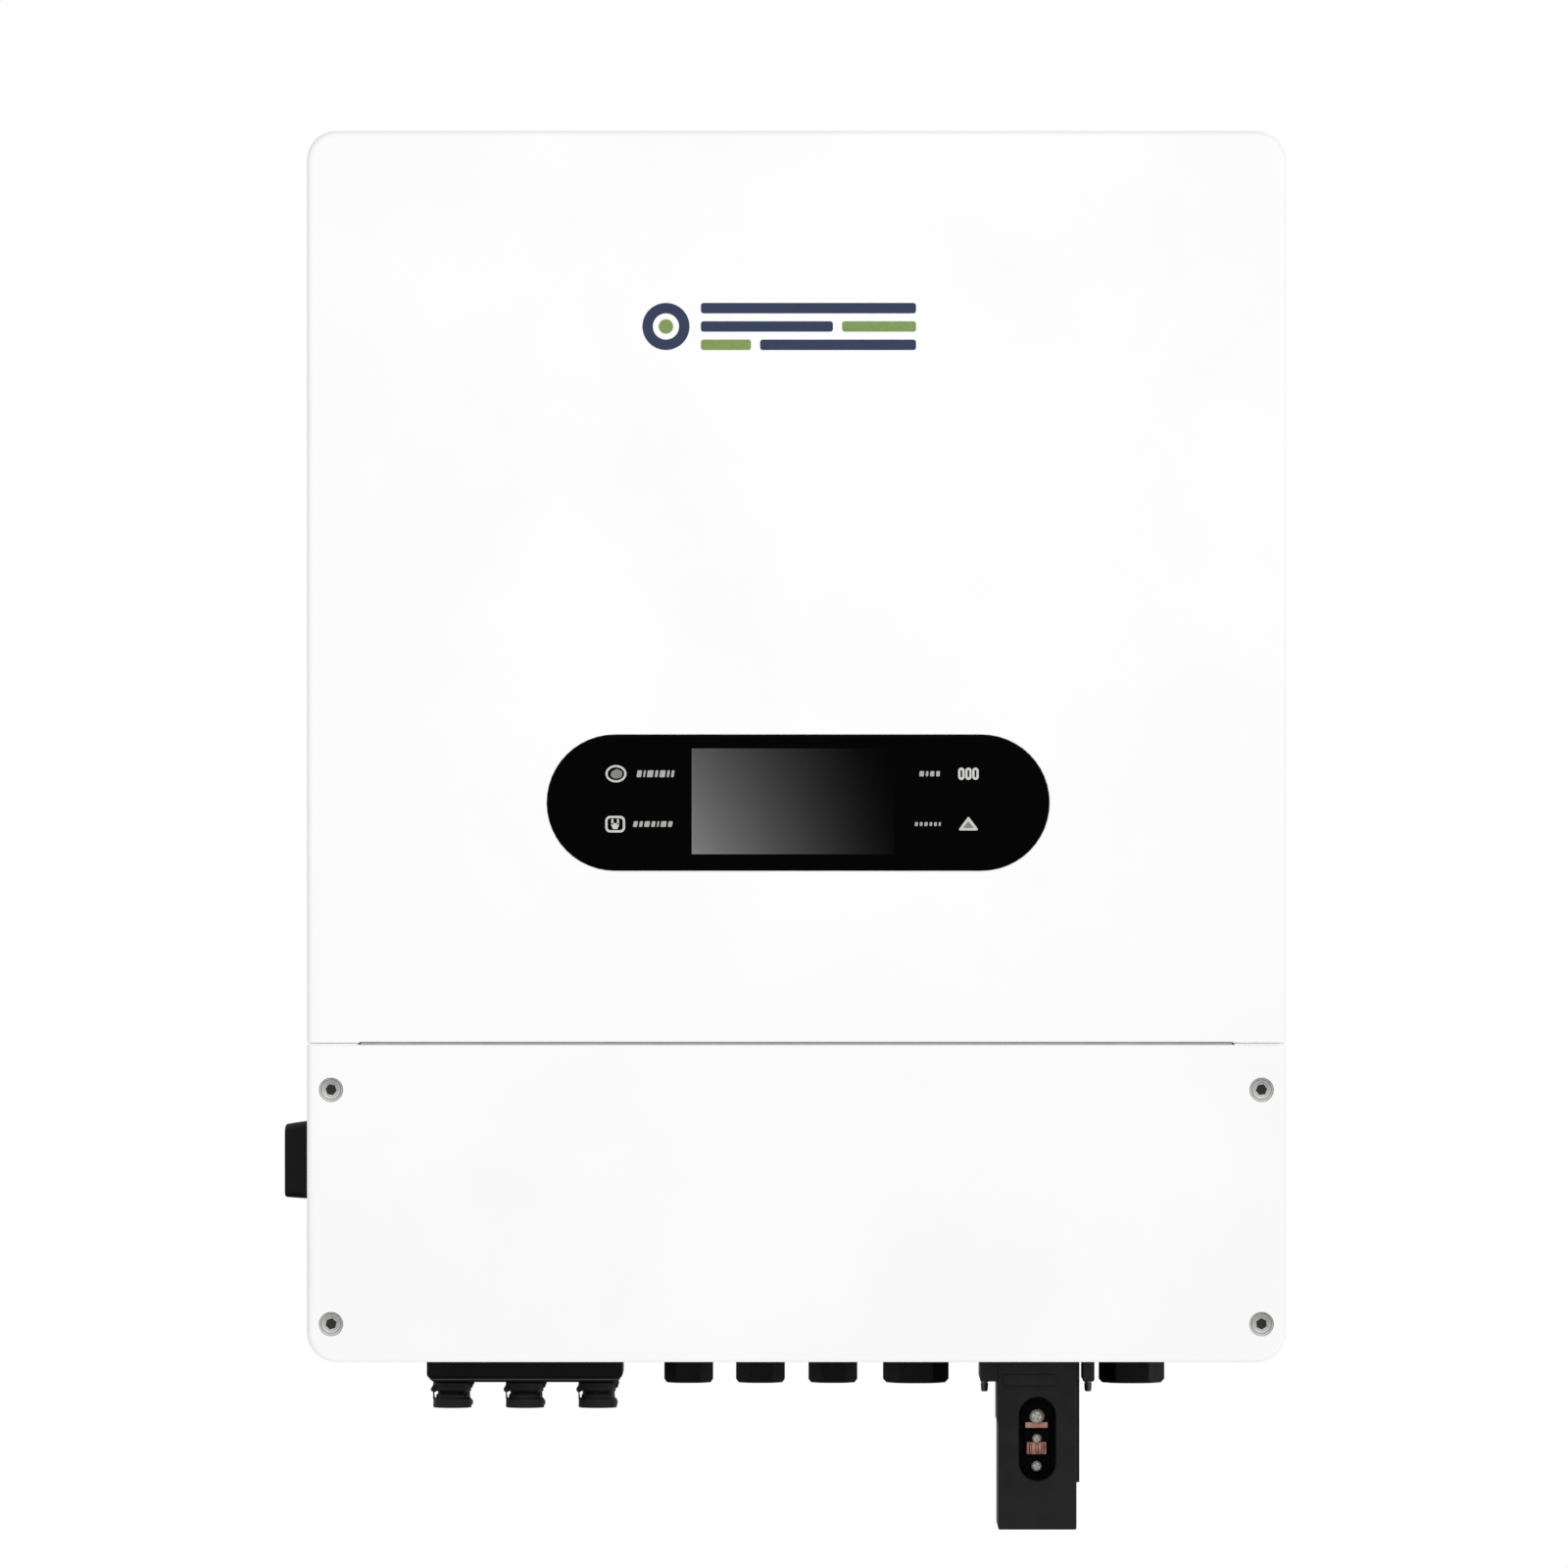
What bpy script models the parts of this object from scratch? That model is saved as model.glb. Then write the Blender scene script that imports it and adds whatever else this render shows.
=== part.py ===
"""Wall-hung hybrid string inverter, as an assembly of separate parts.

Units are metres and +Z is up. The wall is the plane Y = 0 and the covers face -Y. The
origin is the middle of the wall bracket's back face. A height, written h, is measured up
from the lower edge of the covers, and z_at(h) turns it into a Z coordinate.
"""

import math

import bmesh
import bpy
from mathutils import Matrix, Vector

MM = 0.001

# ---- Driving dimensions -------------------------------------------------------------
BODY_WIDTH = 430 * MM
BODY_HEIGHT = 541 * MM
BODY_BOTTOM = -360 * MM  # Z of the covers' lower edge
FRONT_Y = -205 * MM  # front face of both covers
GAP = 0.3 * MM  # left between parts that rest on each other

COVER_DEPTH = 60 * MM
COVER_WALL = 2.5 * MM
COVER_CORNER = 13 * MM
COVER_EDGE = 3 * MM
SEAM_H = 139.6 * MM  # top edge of the lower cover
SEAM_END_GAP = 0.5 * MM
SEAM_MIDDLE_GAP = 0.9 * MM
SEAM_MIDDLE_WIDTH = 384 * MM
SEAM_RETURN = 7.5 * MM  # depth of the short wall along the seam

CHASSIS_HALF = 211.5 * MM
CHASSIS_BOTTOM_H = 10 * MM
CHASSIS_TOP_H = 537.5 * MM
CHASSIS_FRONT = -196 * MM
CHASSIS_REAR = -66 * MM
CHASSIS_WALL = 2.5 * MM
RIM_WIDTH = 22 * MM
RIM_THICKNESS = 3 * MM
PARTITION_H = 140 * MM  # underside of the shelf between the two compartments
REAR_OPENING = (356 * MM, 350 * MM)
REAR_OPENING_H = 340 * MM

HEAT_SINK_WIDTH = 390 * MM
HEAT_SINK_LOW_H = 150 * MM
HEAT_SINK_HIGH_H = 528 * MM
HEAT_SINK_BASE = 8 * MM
FIN_TIP_Y = -17.8 * MM
FIN_COUNT = 28
FIN_PITCH = 14 * MM
FIN_ROOT = 3.4 * MM
FIN_TIP = 2.2 * MM

BRACKET_WIDTH = 320 * MM
BRACKET_SHEET = 2.5 * MM
LIP_TOP = 49.7 * MM
HANGER_WIDTH = 300 * MM

DISPLAY_X = 0.8 * MM
DISPLAY_H = 245.8 * MM
DISPLAY_SIZE = (220 * MM, 59 * MM)
DISPLAY_THICKNESS = 3 * MM
LCD_X = -1.5 * MM

COVER_SCREW_X = 204.4 * MM
COVER_SCREW_H = (16.8 * MM, 119.7 * MM)
COVER_SCREW_RECESS = 5.3 * MM
SCREW_HEAD = 4.25 * MM
SCREW_SHANK = 2.5 * MM
RECESS_FLOOR_Y = -199.5 * MM

SWITCH_Y = -106 * MM
SWITCH_H = 86.4 * MM
KNOB_RADIUS = 17.5 * MM
KNOB_REACH = 16.7 * MM  # how far the knob stands off the chassis side

ENTRY_Y = -111 * MM  # the row of cable and connector entries under the chassis
COM_GLAND_X = (-47.9 * MM, -15.9 * MM, 16.4 * MM)
GRID_GLAND_X = 53.4 * MM
LOAD_GLAND_X = 149.6 * MM
COM_GLAND = {"corner": 10.9 * MM, "thread": 8 * MM, "cable": 5 * MM}
AC_GLAND = {"corner": 14.65 * MM, "thread": 11 * MM, "cable": 7.5 * MM}
GLAND_END_H = -12.8 * MM

PV_BLOCK_X = -120.6 * MM
PV_BLOCK = (87 * MM, 58 * MM)
PV_PITCH = 32.35 * MM
PV_ROW_PITCH = 29 * MM
PV_NOSE = 8.7 * MM
PV_STEM = 6 * MM
PV_BLOCK_END_H = -11.7 * MM
PV_END_H = -23.4 * MM

BATTERY_X = 106.9 * MM
BATTERY_FRONT_Y = -140 * MM
BATTERY_DEPTH = 56 * MM
BATTERY_WIDTH = 34.8 * MM
BATTERY_WALL = 2.2 * MM
BATTERY_END_H = -77.1 * MM
COLLAR_SIDES = (81.7 * MM, 132.5 * MM)
COLLAR_SLOT = (125.6 * MM, 127.4 * MM)  # parts the right ear from the box
COLLAR_END_H = -11.4 * MM
BATTERY_BOX_SCREWS_X = {"left": 84 * MM, "right": 130.2 * MM}
WINDOW = (16.1 * MM, 37 * MM)
WINDOW_H = -36.9 * MM
CARRIER_FRONT_Y = -128 * MM
POSITIVE_SHELF_H = -21.5 * MM  # undersides of the bars' shelves
NEGATIVE_SHELF_H = -44 * MM
BATTERY_SCREWS = {"positive": -27.2 * MM, "negative": -37 * MM, "sense": -49.5 * MM}
BATTERY_SCREW_HEADS = {"positive": 3.2 * MM, "negative": 2 * MM, "sense": 2.4 * MM}

POWER_BOARD_Y = -98 * MM  # front face of the power board
BOARD_THICKNESS = 1.6 * MM

MATERIALS = {
    "white_paint": ((0.93, 0.93, 0.92), 0.38, 0.0),
    "aluminium": ((0.74, 0.75, 0.76), 0.42, 1.0),
    "zinc_steel": ((0.62, 0.63, 0.65), 0.35, 1.0),
    "stainless": ((0.72, 0.71, 0.69), 0.25, 1.0),
    "copper": ((0.78, 0.42, 0.30), 0.30, 1.0),
    "brass": ((0.78, 0.62, 0.30), 0.32, 1.0),
    "black_plastic": ((0.018, 0.016, 0.018), 0.50, 0.0),
    "gloss_black": ((0.004, 0.004, 0.004), 0.08, 0.0),
    "screen_glass": ((0.06, 0.06, 0.06), 0.12, 0.0),
    "black_rubber": ((0.02, 0.02, 0.02), 0.80, 0.0),
    "grey_foam": ((0.22, 0.22, 0.23), 0.85, 0.0),
    "board_green": ((0.02, 0.16, 0.07), 0.45, 0.0),
    "capacitor_sleeve": ((0.03, 0.05, 0.14), 0.35, 0.0),
    "terminal_grey": ((0.45, 0.46, 0.47), 0.50, 0.0),
}

FRONT_TURN = (math.pi / 2, 0, 0)  # an outline's x, y become X, Z and it is as thick along Y
SIDE_TURN = (math.pi / 2, 0, math.pi / 2)  # its x, y become Y, Z and it is as thick along X
UP_TURN = (0, 0, 0)


def z_at(height):
    return BODY_BOTTOM + height


# ---- Scene, materials and bodies ----------------------------------------------------
def clear_scene():
    for obj in list(bpy.data.objects):
        bpy.data.objects.remove(obj)


def make_collection(name):
    made = bpy.data.collections.new(name)
    bpy.context.scene.collection.children.link(made)
    return made


def make_material(name):
    color, roughness, metallic = MATERIALS[name]
    made = bpy.data.materials.new(name)
    made.use_nodes = True
    shader = made.node_tree.nodes["Principled BSDF"]
    shader.inputs["Base Color"].default_value = (*color, 1.0)
    shader.inputs["Roughness"].default_value = roughness
    shader.inputs["Metallic"].default_value = metallic
    return made


clear_scene()
PARTS = make_collection("string_inverter")
CUTTERS = make_collection("cutters")
MADE = {name: make_material(name) for name in MATERIALS}
BODIES = {}


def make_body(name, origin=(0, 0, 0), parent=None):
    """An empty on a body's joint axis. The body's parts hang from it."""
    empty = bpy.data.objects.new("body_" + name, None)
    PARTS.objects.link(empty)
    empty.location = origin
    bpy.context.view_layer.update()
    if parent:
        attach(empty, parent)
    BODIES[name] = empty


def attach(obj, body):
    """Parents an object to a body and leaves it where it is."""
    obj.parent = BODIES[body]
    obj.matrix_parent_inverse = BODIES[body].matrix_world.inverted()
    bpy.context.view_layer.update()


# ---- Shapes: each function returns one that adds the shape to a bmesh ----------------
def block(size, centre=(0, 0, 0), along=None, radius=0.0, segments=3):
    """A box. The edges along an axis ("X", "Y", "Z"), or all of them, can be rounded."""

    def add(mesh):
        place = Matrix.Translation(centre) @ Matrix.Diagonal((*size, 1))
        made = bmesh.ops.create_cube(mesh, size=1, matrix=place)
        if not radius:
            return
        edges = {edge for vert in made["verts"] for edge in vert.link_edges}
        if along:
            axis = "XYZ".index(along)
            edges = {e for e in edges if abs(e.verts[0].co[axis] - e.verts[1].co[axis]) > size[axis] / 2}
        bmesh.ops.bevel(
            mesh, geom=list(edges), offset=radius, segments=segments, profile=0.5, affect="EDGES"
        )

    return add


def rod(start, end, radius, end_radius=None, sides=16, turn=0.0):
    """A cylinder, cone or prism between two points, turned about its own axis."""
    start, end = Vector(start), Vector(end)
    length = (end - start).length

    def add(mesh):
        place = (
            Matrix.Translation((start + end) / 2)
            @ (end - start).to_track_quat("Z", "Y").to_matrix().to_4x4()
            @ Matrix.Rotation(turn, 4, "Z")
        )
        bmesh.ops.create_cone(
            mesh,
            cap_ends=True,
            segments=sides,
            radius1=radius,
            radius2=radius if end_radius is None else end_radius,
            depth=length,
            matrix=place,
        )

    return add


def rod_back(x, z, front, rear, radius, sides=16):
    """A rod from front to rear."""
    return rod((x, front, z), (x, rear, z), radius, sides=sides)


def rod_up(x, y, low, high, radius, sides=16):
    """A rod from low to high."""
    return rod((x, y, low), (x, y, high), radius, sides=sides)


def put(obj, collection, material, at):
    collection.objects.link(obj)
    obj.location = at
    if material:
        obj.data.materials.append(MADE[material])
    if material and obj.type == "MESH":
        obj.data.shade_smooth()
        obj.data.set_sharp_from_angle(angle=math.radians(30))
    bpy.context.view_layer.update()
    return obj


def mesh_object(name, shapes, at=(0, 0, 0), material=None):
    mesh = bmesh.new()
    for add in shapes:
        add(mesh)
    data = bpy.data.meshes.new(name)
    mesh.to_mesh(data)
    mesh.free()
    return put(bpy.data.objects.new(name, data), PARTS, material, at)


def part(name, body, material, at, *shapes):
    """A part made of one shape, or of shapes that a union joins to the first one."""
    obj = mesh_object(name, shapes[:1], at, material)
    attach(obj, body)
    for number, shape in enumerate(shapes[1:]):
        join(obj, mesh_object(f"{name}_piece_{number}", [shape], at))
    return obj


def outline_part(name, body, material, at, outlines, thickness, turn):
    """A flat part: 2D outlines, where an inner outline is a hole, given a thickness."""
    curve = bpy.data.curves.new(name, "CURVE")
    curve.dimensions = "2D"
    curve.fill_mode = "BOTH"
    curve.extrude = thickness / 2
    for outline in outlines:
        spline = curve.splines.new("POLY")
        spline.points.add(len(outline) - 1)
        for point, (x, y) in zip(spline.points, outline):
            point.co = (x, y, 0, 1)
        spline.use_cyclic_u = True
    guide = bpy.data.objects.new(name + "_outline", curve)
    CUTTERS.objects.link(guide)
    guide.rotation_euler = turn
    guide.location = at
    bpy.context.view_layer.update()
    graph = bpy.context.evaluated_depsgraph_get()
    data = bpy.data.meshes.new_from_object(guide.evaluated_get(graph))
    mesh = bmesh.new()
    mesh.from_mesh(data)
    bmesh.ops.remove_doubles(mesh, verts=mesh.verts, dist=0.01 * MM)
    mesh.to_mesh(data)
    mesh.free()
    obj = put(bpy.data.objects.new(name, data), PARTS, material, at)
    obj.matrix_world = guide.matrix_world
    bpy.data.objects.remove(guide)
    bpy.context.view_layer.update()
    if body:
        attach(obj, body)
    return obj


def stadium(width, height, steps=12):
    """The outline of a slot with round ends."""
    radius = height / 2
    reach = width / 2 - radius
    points = []
    for side in (1, -1):
        for step in range(steps + 1):
            angle = math.pi * (step / steps - 0.5)
            points.append((side * (reach + radius * math.cos(angle)), side * radius * math.sin(angle)))
    return points


def rectangle(left, right, low, high):
    return [(left, low), (right, low), (right, high), (left, high)]


# ---- Cuts and joins -----------------------------------------------------------------
def use_boolean(target, helper, operation):
    helper.hide_render = True
    helper.display_type = "WIRE"
    for collection in helper.users_collection:
        collection.objects.unlink(helper)
    CUTTERS.objects.link(helper)
    modifier = target.modifiers.new(operation.lower(), "BOOLEAN")
    modifier.operation = operation
    modifier.object = helper


def cut(target, name, *shapes):
    """Cuts shapes, given in world coordinates, that stand clear of each other."""
    use_boolean(target, mesh_object(name, shapes), "DIFFERENCE")


def join(target, helper):
    use_boolean(target, helper, "UNION")


def join_shapes(target, name, *shapes):
    """Joins shapes, given in world coordinates, that stand clear of each other."""
    join(target, mesh_object(name, shapes))


# ---- Wall bracket and the rail that hangs on it --------------------------------------
def make_wall_bracket():
    """A plate on the wall whose top edge is bent forward and up into a lip."""
    sheet = BRACKET_SHEET
    shelf = 30 * MM
    outline = [
        (0, -50 * MM),
        (0, shelf),
        (-9 * MM, shelf),
        (-9 * MM, LIP_TOP),
        (-9 * MM - sheet, LIP_TOP),
        (-9 * MM - sheet, shelf - sheet),
        (-sheet, shelf - sheet),
        (-sheet, -50 * MM),
    ]
    bracket = outline_part(
        "wall_bracket", "wall", "zinc_steel", (0, 0, 0), [outline], BRACKET_WIDTH, SIDE_TURN
    )
    holes = [
        rod((x, -10 * MM, z), (x, 10 * MM, z), 4.5 * MM, sides=8)
        for x in (-140 * MM, -70 * MM, 70 * MM, 140 * MM)
        for z in (-32 * MM, 6 * MM)
    ]
    cut(bracket, "anchor_holes", *holes)


def make_hanger_rail():
    """The hooked rail on the fins. Its hook drops behind the bracket's lip."""
    sheet = BRACKET_SHEET
    hook_top = LIP_TOP + GAP + sheet
    outline = [
        (-5 * MM, 32 * MM),
        (-5 * MM, hook_top),
        (-15 * MM, hook_top),
        (-15 * MM, 95 * MM),
        (-15 * MM - sheet, 95 * MM),
        (-15 * MM - sheet, LIP_TOP + GAP),
        (-5 * MM - sheet, LIP_TOP + GAP),
        (-5 * MM - sheet, 32 * MM),
    ]
    outline_part("hanger_rail", "case", "zinc_steel", (0, 0, 0), [outline], HANGER_WIDTH, SIDE_TURN)


# ---- Heat sink and chassis ----------------------------------------------------------
def make_heat_sink():
    """A base plate with a comb of tapered fins, all one extrusion along Z."""
    base_front = CHASSIS_REAR + GAP
    base_rear = base_front + HEAT_SINK_BASE
    half = HEAT_SINK_WIDTH / 2
    outline = [(-half, base_front), (half, base_front), (half, base_rear)]
    for number in reversed(range(FIN_COUNT)):
        x = (number - (FIN_COUNT - 1) / 2) * FIN_PITCH
        outline += [
            (x + FIN_ROOT / 2, base_rear),
            (x + FIN_TIP / 2, FIN_TIP_Y),
            (x - FIN_TIP / 2, FIN_TIP_Y),
            (x - FIN_ROOT / 2, base_rear),
        ]
    outline.append((-half, base_rear))
    middle = z_at((HEAT_SINK_LOW_H + HEAT_SINK_HIGH_H) / 2)
    length = HEAT_SINK_HIGH_H - HEAT_SINK_LOW_H
    outline_part("heat_sink", "case", "aluminium", (0, 0, middle), [outline], length, UP_TURN)


def between(low, high):
    """(size, centre) of a box given by its lowest and highest corners."""
    size = tuple(b - a for a, b in zip(low, high))
    centre = tuple((a + b) / 2 for a, b in zip(low, high))
    return size, centre


def compartment(low_h, high_h):
    """The two cutters of one compartment: its room, and the opening inside its front rim."""
    inner = CHASSIS_HALF - CHASSIS_WALL
    room = between(
        (-inner, CHASSIS_FRONT + RIM_THICKNESS, z_at(low_h)),
        (inner, CHASSIS_REAR - RIM_THICKNESS, z_at(high_h)),
    )
    return block(*room, along="Y", radius=7 * MM)


def rim_opening(low_h, high_h):
    inner = CHASSIS_HALF - RIM_WIDTH
    opening = between(
        (-inner, CHASSIS_FRONT - 5 * MM, z_at(low_h)),
        (inner, CHASSIS_FRONT + 5 * MM, z_at(high_h)),
    )
    return block(*opening)


def cover_screw_places():
    return [(side * COVER_SCREW_X, z_at(h)) for h in COVER_SCREW_H for side in (-1, 1)]


def make_chassis():
    """The deep tub behind the covers, with a shelf between its two compartments."""
    size, centre = between(
        (-CHASSIS_HALF, CHASSIS_FRONT, z_at(CHASSIS_BOTTOM_H)),
        (CHASSIS_HALF, CHASSIS_REAR, z_at(CHASSIS_TOP_H)),
    )
    chassis = part(
        "chassis", "case", "white_paint", centre, block(size, along="Y", radius=9.5 * MM)
    )
    floor_h = CHASSIS_BOTTOM_H + CHASSIS_WALL
    shelf_top_h = PARTITION_H + 3 * MM
    cut(
        chassis,
        "compartments",
        compartment(floor_h, PARTITION_H),
        compartment(shelf_top_h, CHASSIS_TOP_H - CHASSIS_WALL),
    )
    cut(
        chassis,
        "rim_openings",
        rim_opening(CHASSIS_BOTTOM_H + 11 * MM, 130 * MM),
        rim_opening(150 * MM, CHASSIS_TOP_H - RIM_WIDTH),
    )
    width, height = REAR_OPENING
    cut(
        chassis,
        "rear_opening",
        block((width, 20 * MM, height), (0, CHASSIS_REAR, z_at(REAR_OPENING_H))),
    )
    add_chassis_bosses(chassis)
    cut_chassis_entries(chassis)


def add_chassis_bosses(chassis):
    """Threaded bosses behind the rim, and posts that carry the power board."""
    rim_back = CHASSIS_FRONT + RIM_THICKNESS
    bosses = [
        rod((x, rim_back - 1 * MM, z), (x, rim_back + 14 * MM, z), 5.2 * MM, sides=12)
        for x, z in cover_screw_places()
    ]
    posts = [
        rod((x, CHASSIS_REAR - 2 * MM, z_at(h)), (x, POWER_BOARD_Y + BOARD_THICKNESS + GAP, z_at(h)), 4 * MM,
            sides=8)
        for x in (-187 * MM, 187 * MM)
        for h in (285 * MM, 500 * MM)
    ]
    join_shapes(chassis, "chassis_bosses", *bosses, *posts)
    screw_holes = [
        rod((x, CHASSIS_FRONT - 2 * MM, z), (x, CHASSIS_FRONT + 14 * MM, z), 3 * MM, sides=12)
        for x, z in cover_screw_places()
    ]
    cut(chassis, "cover_screw_holes", *screw_holes)


def cut_chassis_entries(chassis):
    """Openings in the floor for glands and connectors, and side holes for the switch."""
    low, high = z_at(CHASSIS_BOTTOM_H - 3 * MM), z_at(CHASSIS_BOTTOM_H + 6 * MM)
    floor = z_at(CHASSIS_BOTTOM_H)
    glands = [(x, COM_GLAND) for x in COM_GLAND_X]
    glands += [(GRID_GLAND_X, AC_GLAND), (LOAD_GLAND_X, AC_GLAND)]
    holes = [
        rod((x, ENTRY_Y, low), (x, ENTRY_Y, high), gland["thread"] + 0.4 * MM) for x, gland in glands
    ]
    holes += [
        rod_up(x, ENTRY_Y, low, high, 1.9 * MM, sides=12) for x in BATTERY_BOX_SCREWS_X.values()
    ]
    holes.append(rod((-68 * MM, -88 * MM, low), (-68 * MM, -88 * MM, high), 4.4 * MM, sides=12))
    holes.append(block((80 * MM, 46 * MM, 12 * MM), (PV_BLOCK_X, ENTRY_Y, floor)))
    holes.append(block((24 * MM, 34 * MM, 12 * MM), (BATTERY_X, -114 * MM, floor)))
    switch_z = z_at(SWITCH_H)
    holes.append(
        rod((-CHASSIS_HALF - 4 * MM, SWITCH_Y, switch_z), (-CHASSIS_HALF + 8 * MM, SWITCH_Y, switch_z),
            5 * MM, sides=12)
    )
    earth_z = z_at(30 * MM)
    holes.append(
        rod((CHASSIS_HALF - 8 * MM, -90 * MM, earth_z), (CHASSIS_HALF + 4 * MM, -90 * MM, earth_z),
            3 * MM, sides=12)
    )
    cut(chassis, "chassis_entries", *holes)


# ---- Covers -------------------------------------------------------------------------
def cover_tray(name, body, low_h, high_h, rounded_side):
    """A thin tray open at the back: round corners at one end, a straight seam at the other."""
    height = high_h - low_h
    mesh = bmesh.new()
    bmesh.ops.create_cube(mesh, size=1, matrix=Matrix.Diagonal((BODY_WIDTH, COVER_DEPTH, height, 1)))
    mesh.normal_update()
    back = [face for face in mesh.faces if face.normal.y > 0.5]
    bmesh.ops.delete(mesh, geom=back, context="FACES")
    corners = [
        edge
        for edge in mesh.edges
        if abs(edge.verts[0].co.y - edge.verts[1].co.y) > COVER_DEPTH / 2
        and edge.verts[0].co.z * rounded_side > 0
    ]
    bmesh.ops.bevel(
        mesh, geom=corners, offset=COVER_CORNER, segments=6, profile=0.5, affect="EDGES"
    )
    front = [edge for edge in mesh.edges if all(v.co.y < -0.49 * COVER_DEPTH for v in edge.verts)]
    seam = [edge for edge in front if all(v.co.z * rounded_side < -0.49 * height for v in edge.verts)]
    bmesh.ops.bevel(
        mesh,
        geom=[edge for edge in front if edge not in seam],
        offset=COVER_EDGE,
        segments=3,
        profile=0.5,
        affect="EDGES",
    )
    data = bpy.data.meshes.new(name)
    mesh.to_mesh(data)
    mesh.free()
    at = (0, FRONT_Y + COVER_DEPTH / 2, z_at((low_h + high_h) / 2))
    cover = put(bpy.data.objects.new(name, data), PARTS, "white_paint", at)
    attach(cover, body)
    wall = cover.modifiers.new("wall", "SOLIDIFY")
    wall.thickness = COVER_WALL
    wall.offset = -1
    wall.use_even_offset = True
    return cover


def trim_seam_wall(cover, name, seam_h):
    """Shortens the wall along the seam to a return that clears the chassis rim."""
    inner = BODY_WIDTH / 2 - COVER_WALL
    room = between(
        (-inner, FRONT_Y + SEAM_RETURN, z_at(seam_h - 4 * MM)),
        (inner, FRONT_Y + COVER_DEPTH + 5 * MM, z_at(seam_h + 4 * MM)),
    )
    cut(cover, name, block(*room))


def make_upper_cover():
    low_h = SEAM_H + SEAM_END_GAP
    cover = cover_tray("upper_cover", "upper_cover", low_h, BODY_HEIGHT, 1)
    trim_seam_wall(cover, "upper_seam_trim", low_h)
    shadow_gap = SEAM_MIDDLE_GAP - SEAM_END_GAP
    cut(
        cover,
        "seam_shadow_gap",
        block((SEAM_MIDDLE_WIDTH, 20 * MM, 2 * shadow_gap), (0, FRONT_Y, z_at(low_h))),
    )
    width, height = DISPLAY_SIZE
    opening = outline_part(
        "display_opening",
        None,
        None,
        (DISPLAY_X, FRONT_Y, z_at(DISPLAY_H)),
        [stadium(width + 0.8 * MM, height + 0.8 * MM)],
        12 * MM,
        FRONT_TURN,
    )
    use_boolean(cover, opening, "DIFFERENCE")


def make_lower_cover():
    """The wiring cover, with a recessed seat for each of its four screws."""
    cover = cover_tray("lower_cover", "lower_cover", 0, SEAM_H, -1)
    trim_seam_wall(cover, "lower_seam_trim", SEAM_H)
    inside = FRONT_Y + COVER_WALL
    seats = [
        rod((x, inside - 1 * MM, z), (x, inside + 5 * MM, z), 7.2 * MM, sides=12)
        for x, z in cover_screw_places()
    ]
    join_shapes(cover, "screw_seats", *seats)
    recesses = [
        rod((x, FRONT_Y - 5 * MM, z), (x, RECESS_FLOOR_Y, z), COVER_SCREW_RECESS, sides=16)
        for x, z in cover_screw_places()
    ]
    cut(cover, "screw_recesses", *recesses)
    clearances = [
        rod((x, RECESS_FLOOR_Y - 2 * MM, z), (x, CHASSIS_FRONT, z), 3 * MM, sides=10)
        for x, z in cover_screw_places()
    ]
    cut(cover, "screw_clearances", *clearances)


def make_gasket(name, body, low_h, high_h):
    """A foam ring between a cover and the chassis rim."""
    outer, width = 196 * MM, 5 * MM
    thickness = (CHASSIS_FRONT - GAP) - (FRONT_Y + COVER_WALL + GAP)
    middle = z_at((low_h + high_h) / 2)
    half = (high_h - low_h) / 2
    rings = [
        rectangle(-outer, outer, -half, half),
        rectangle(-outer + width, outer - width, -half + width, half - width),
    ]
    at = (0, CHASSIS_FRONT - GAP - thickness / 2, middle)
    outline_part(name, body, "grey_foam", at, rings, thickness, FRONT_TURN)


def make_cover_screws():
    """Socket-head screws. Each turns about its own axis in the lower cover."""
    for number, (x, z) in enumerate(cover_screw_places(), start=1):
        head_back = RECESS_FLOOR_Y - GAP
        name = f"lower_cover_screw_{number}"
        make_body(name, (x, head_back, z), "lower_cover")
        screw = part(
            name,
            name,
            "stainless",
            (x, head_back, z),
            rod((0, 0, 0), (0, -4.2 * MM, 0), SCREW_HEAD),
            rod((0, -1 * MM, 0), (0, 15 * MM, 0), SCREW_SHANK, sides=12),
        )
        socket_floor = head_back - 1.6 * MM
        cut(screw, name + "_socket", rod((x, FRONT_Y, z), (x, socket_floor, z), 2.31 * MM, sides=6))


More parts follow.
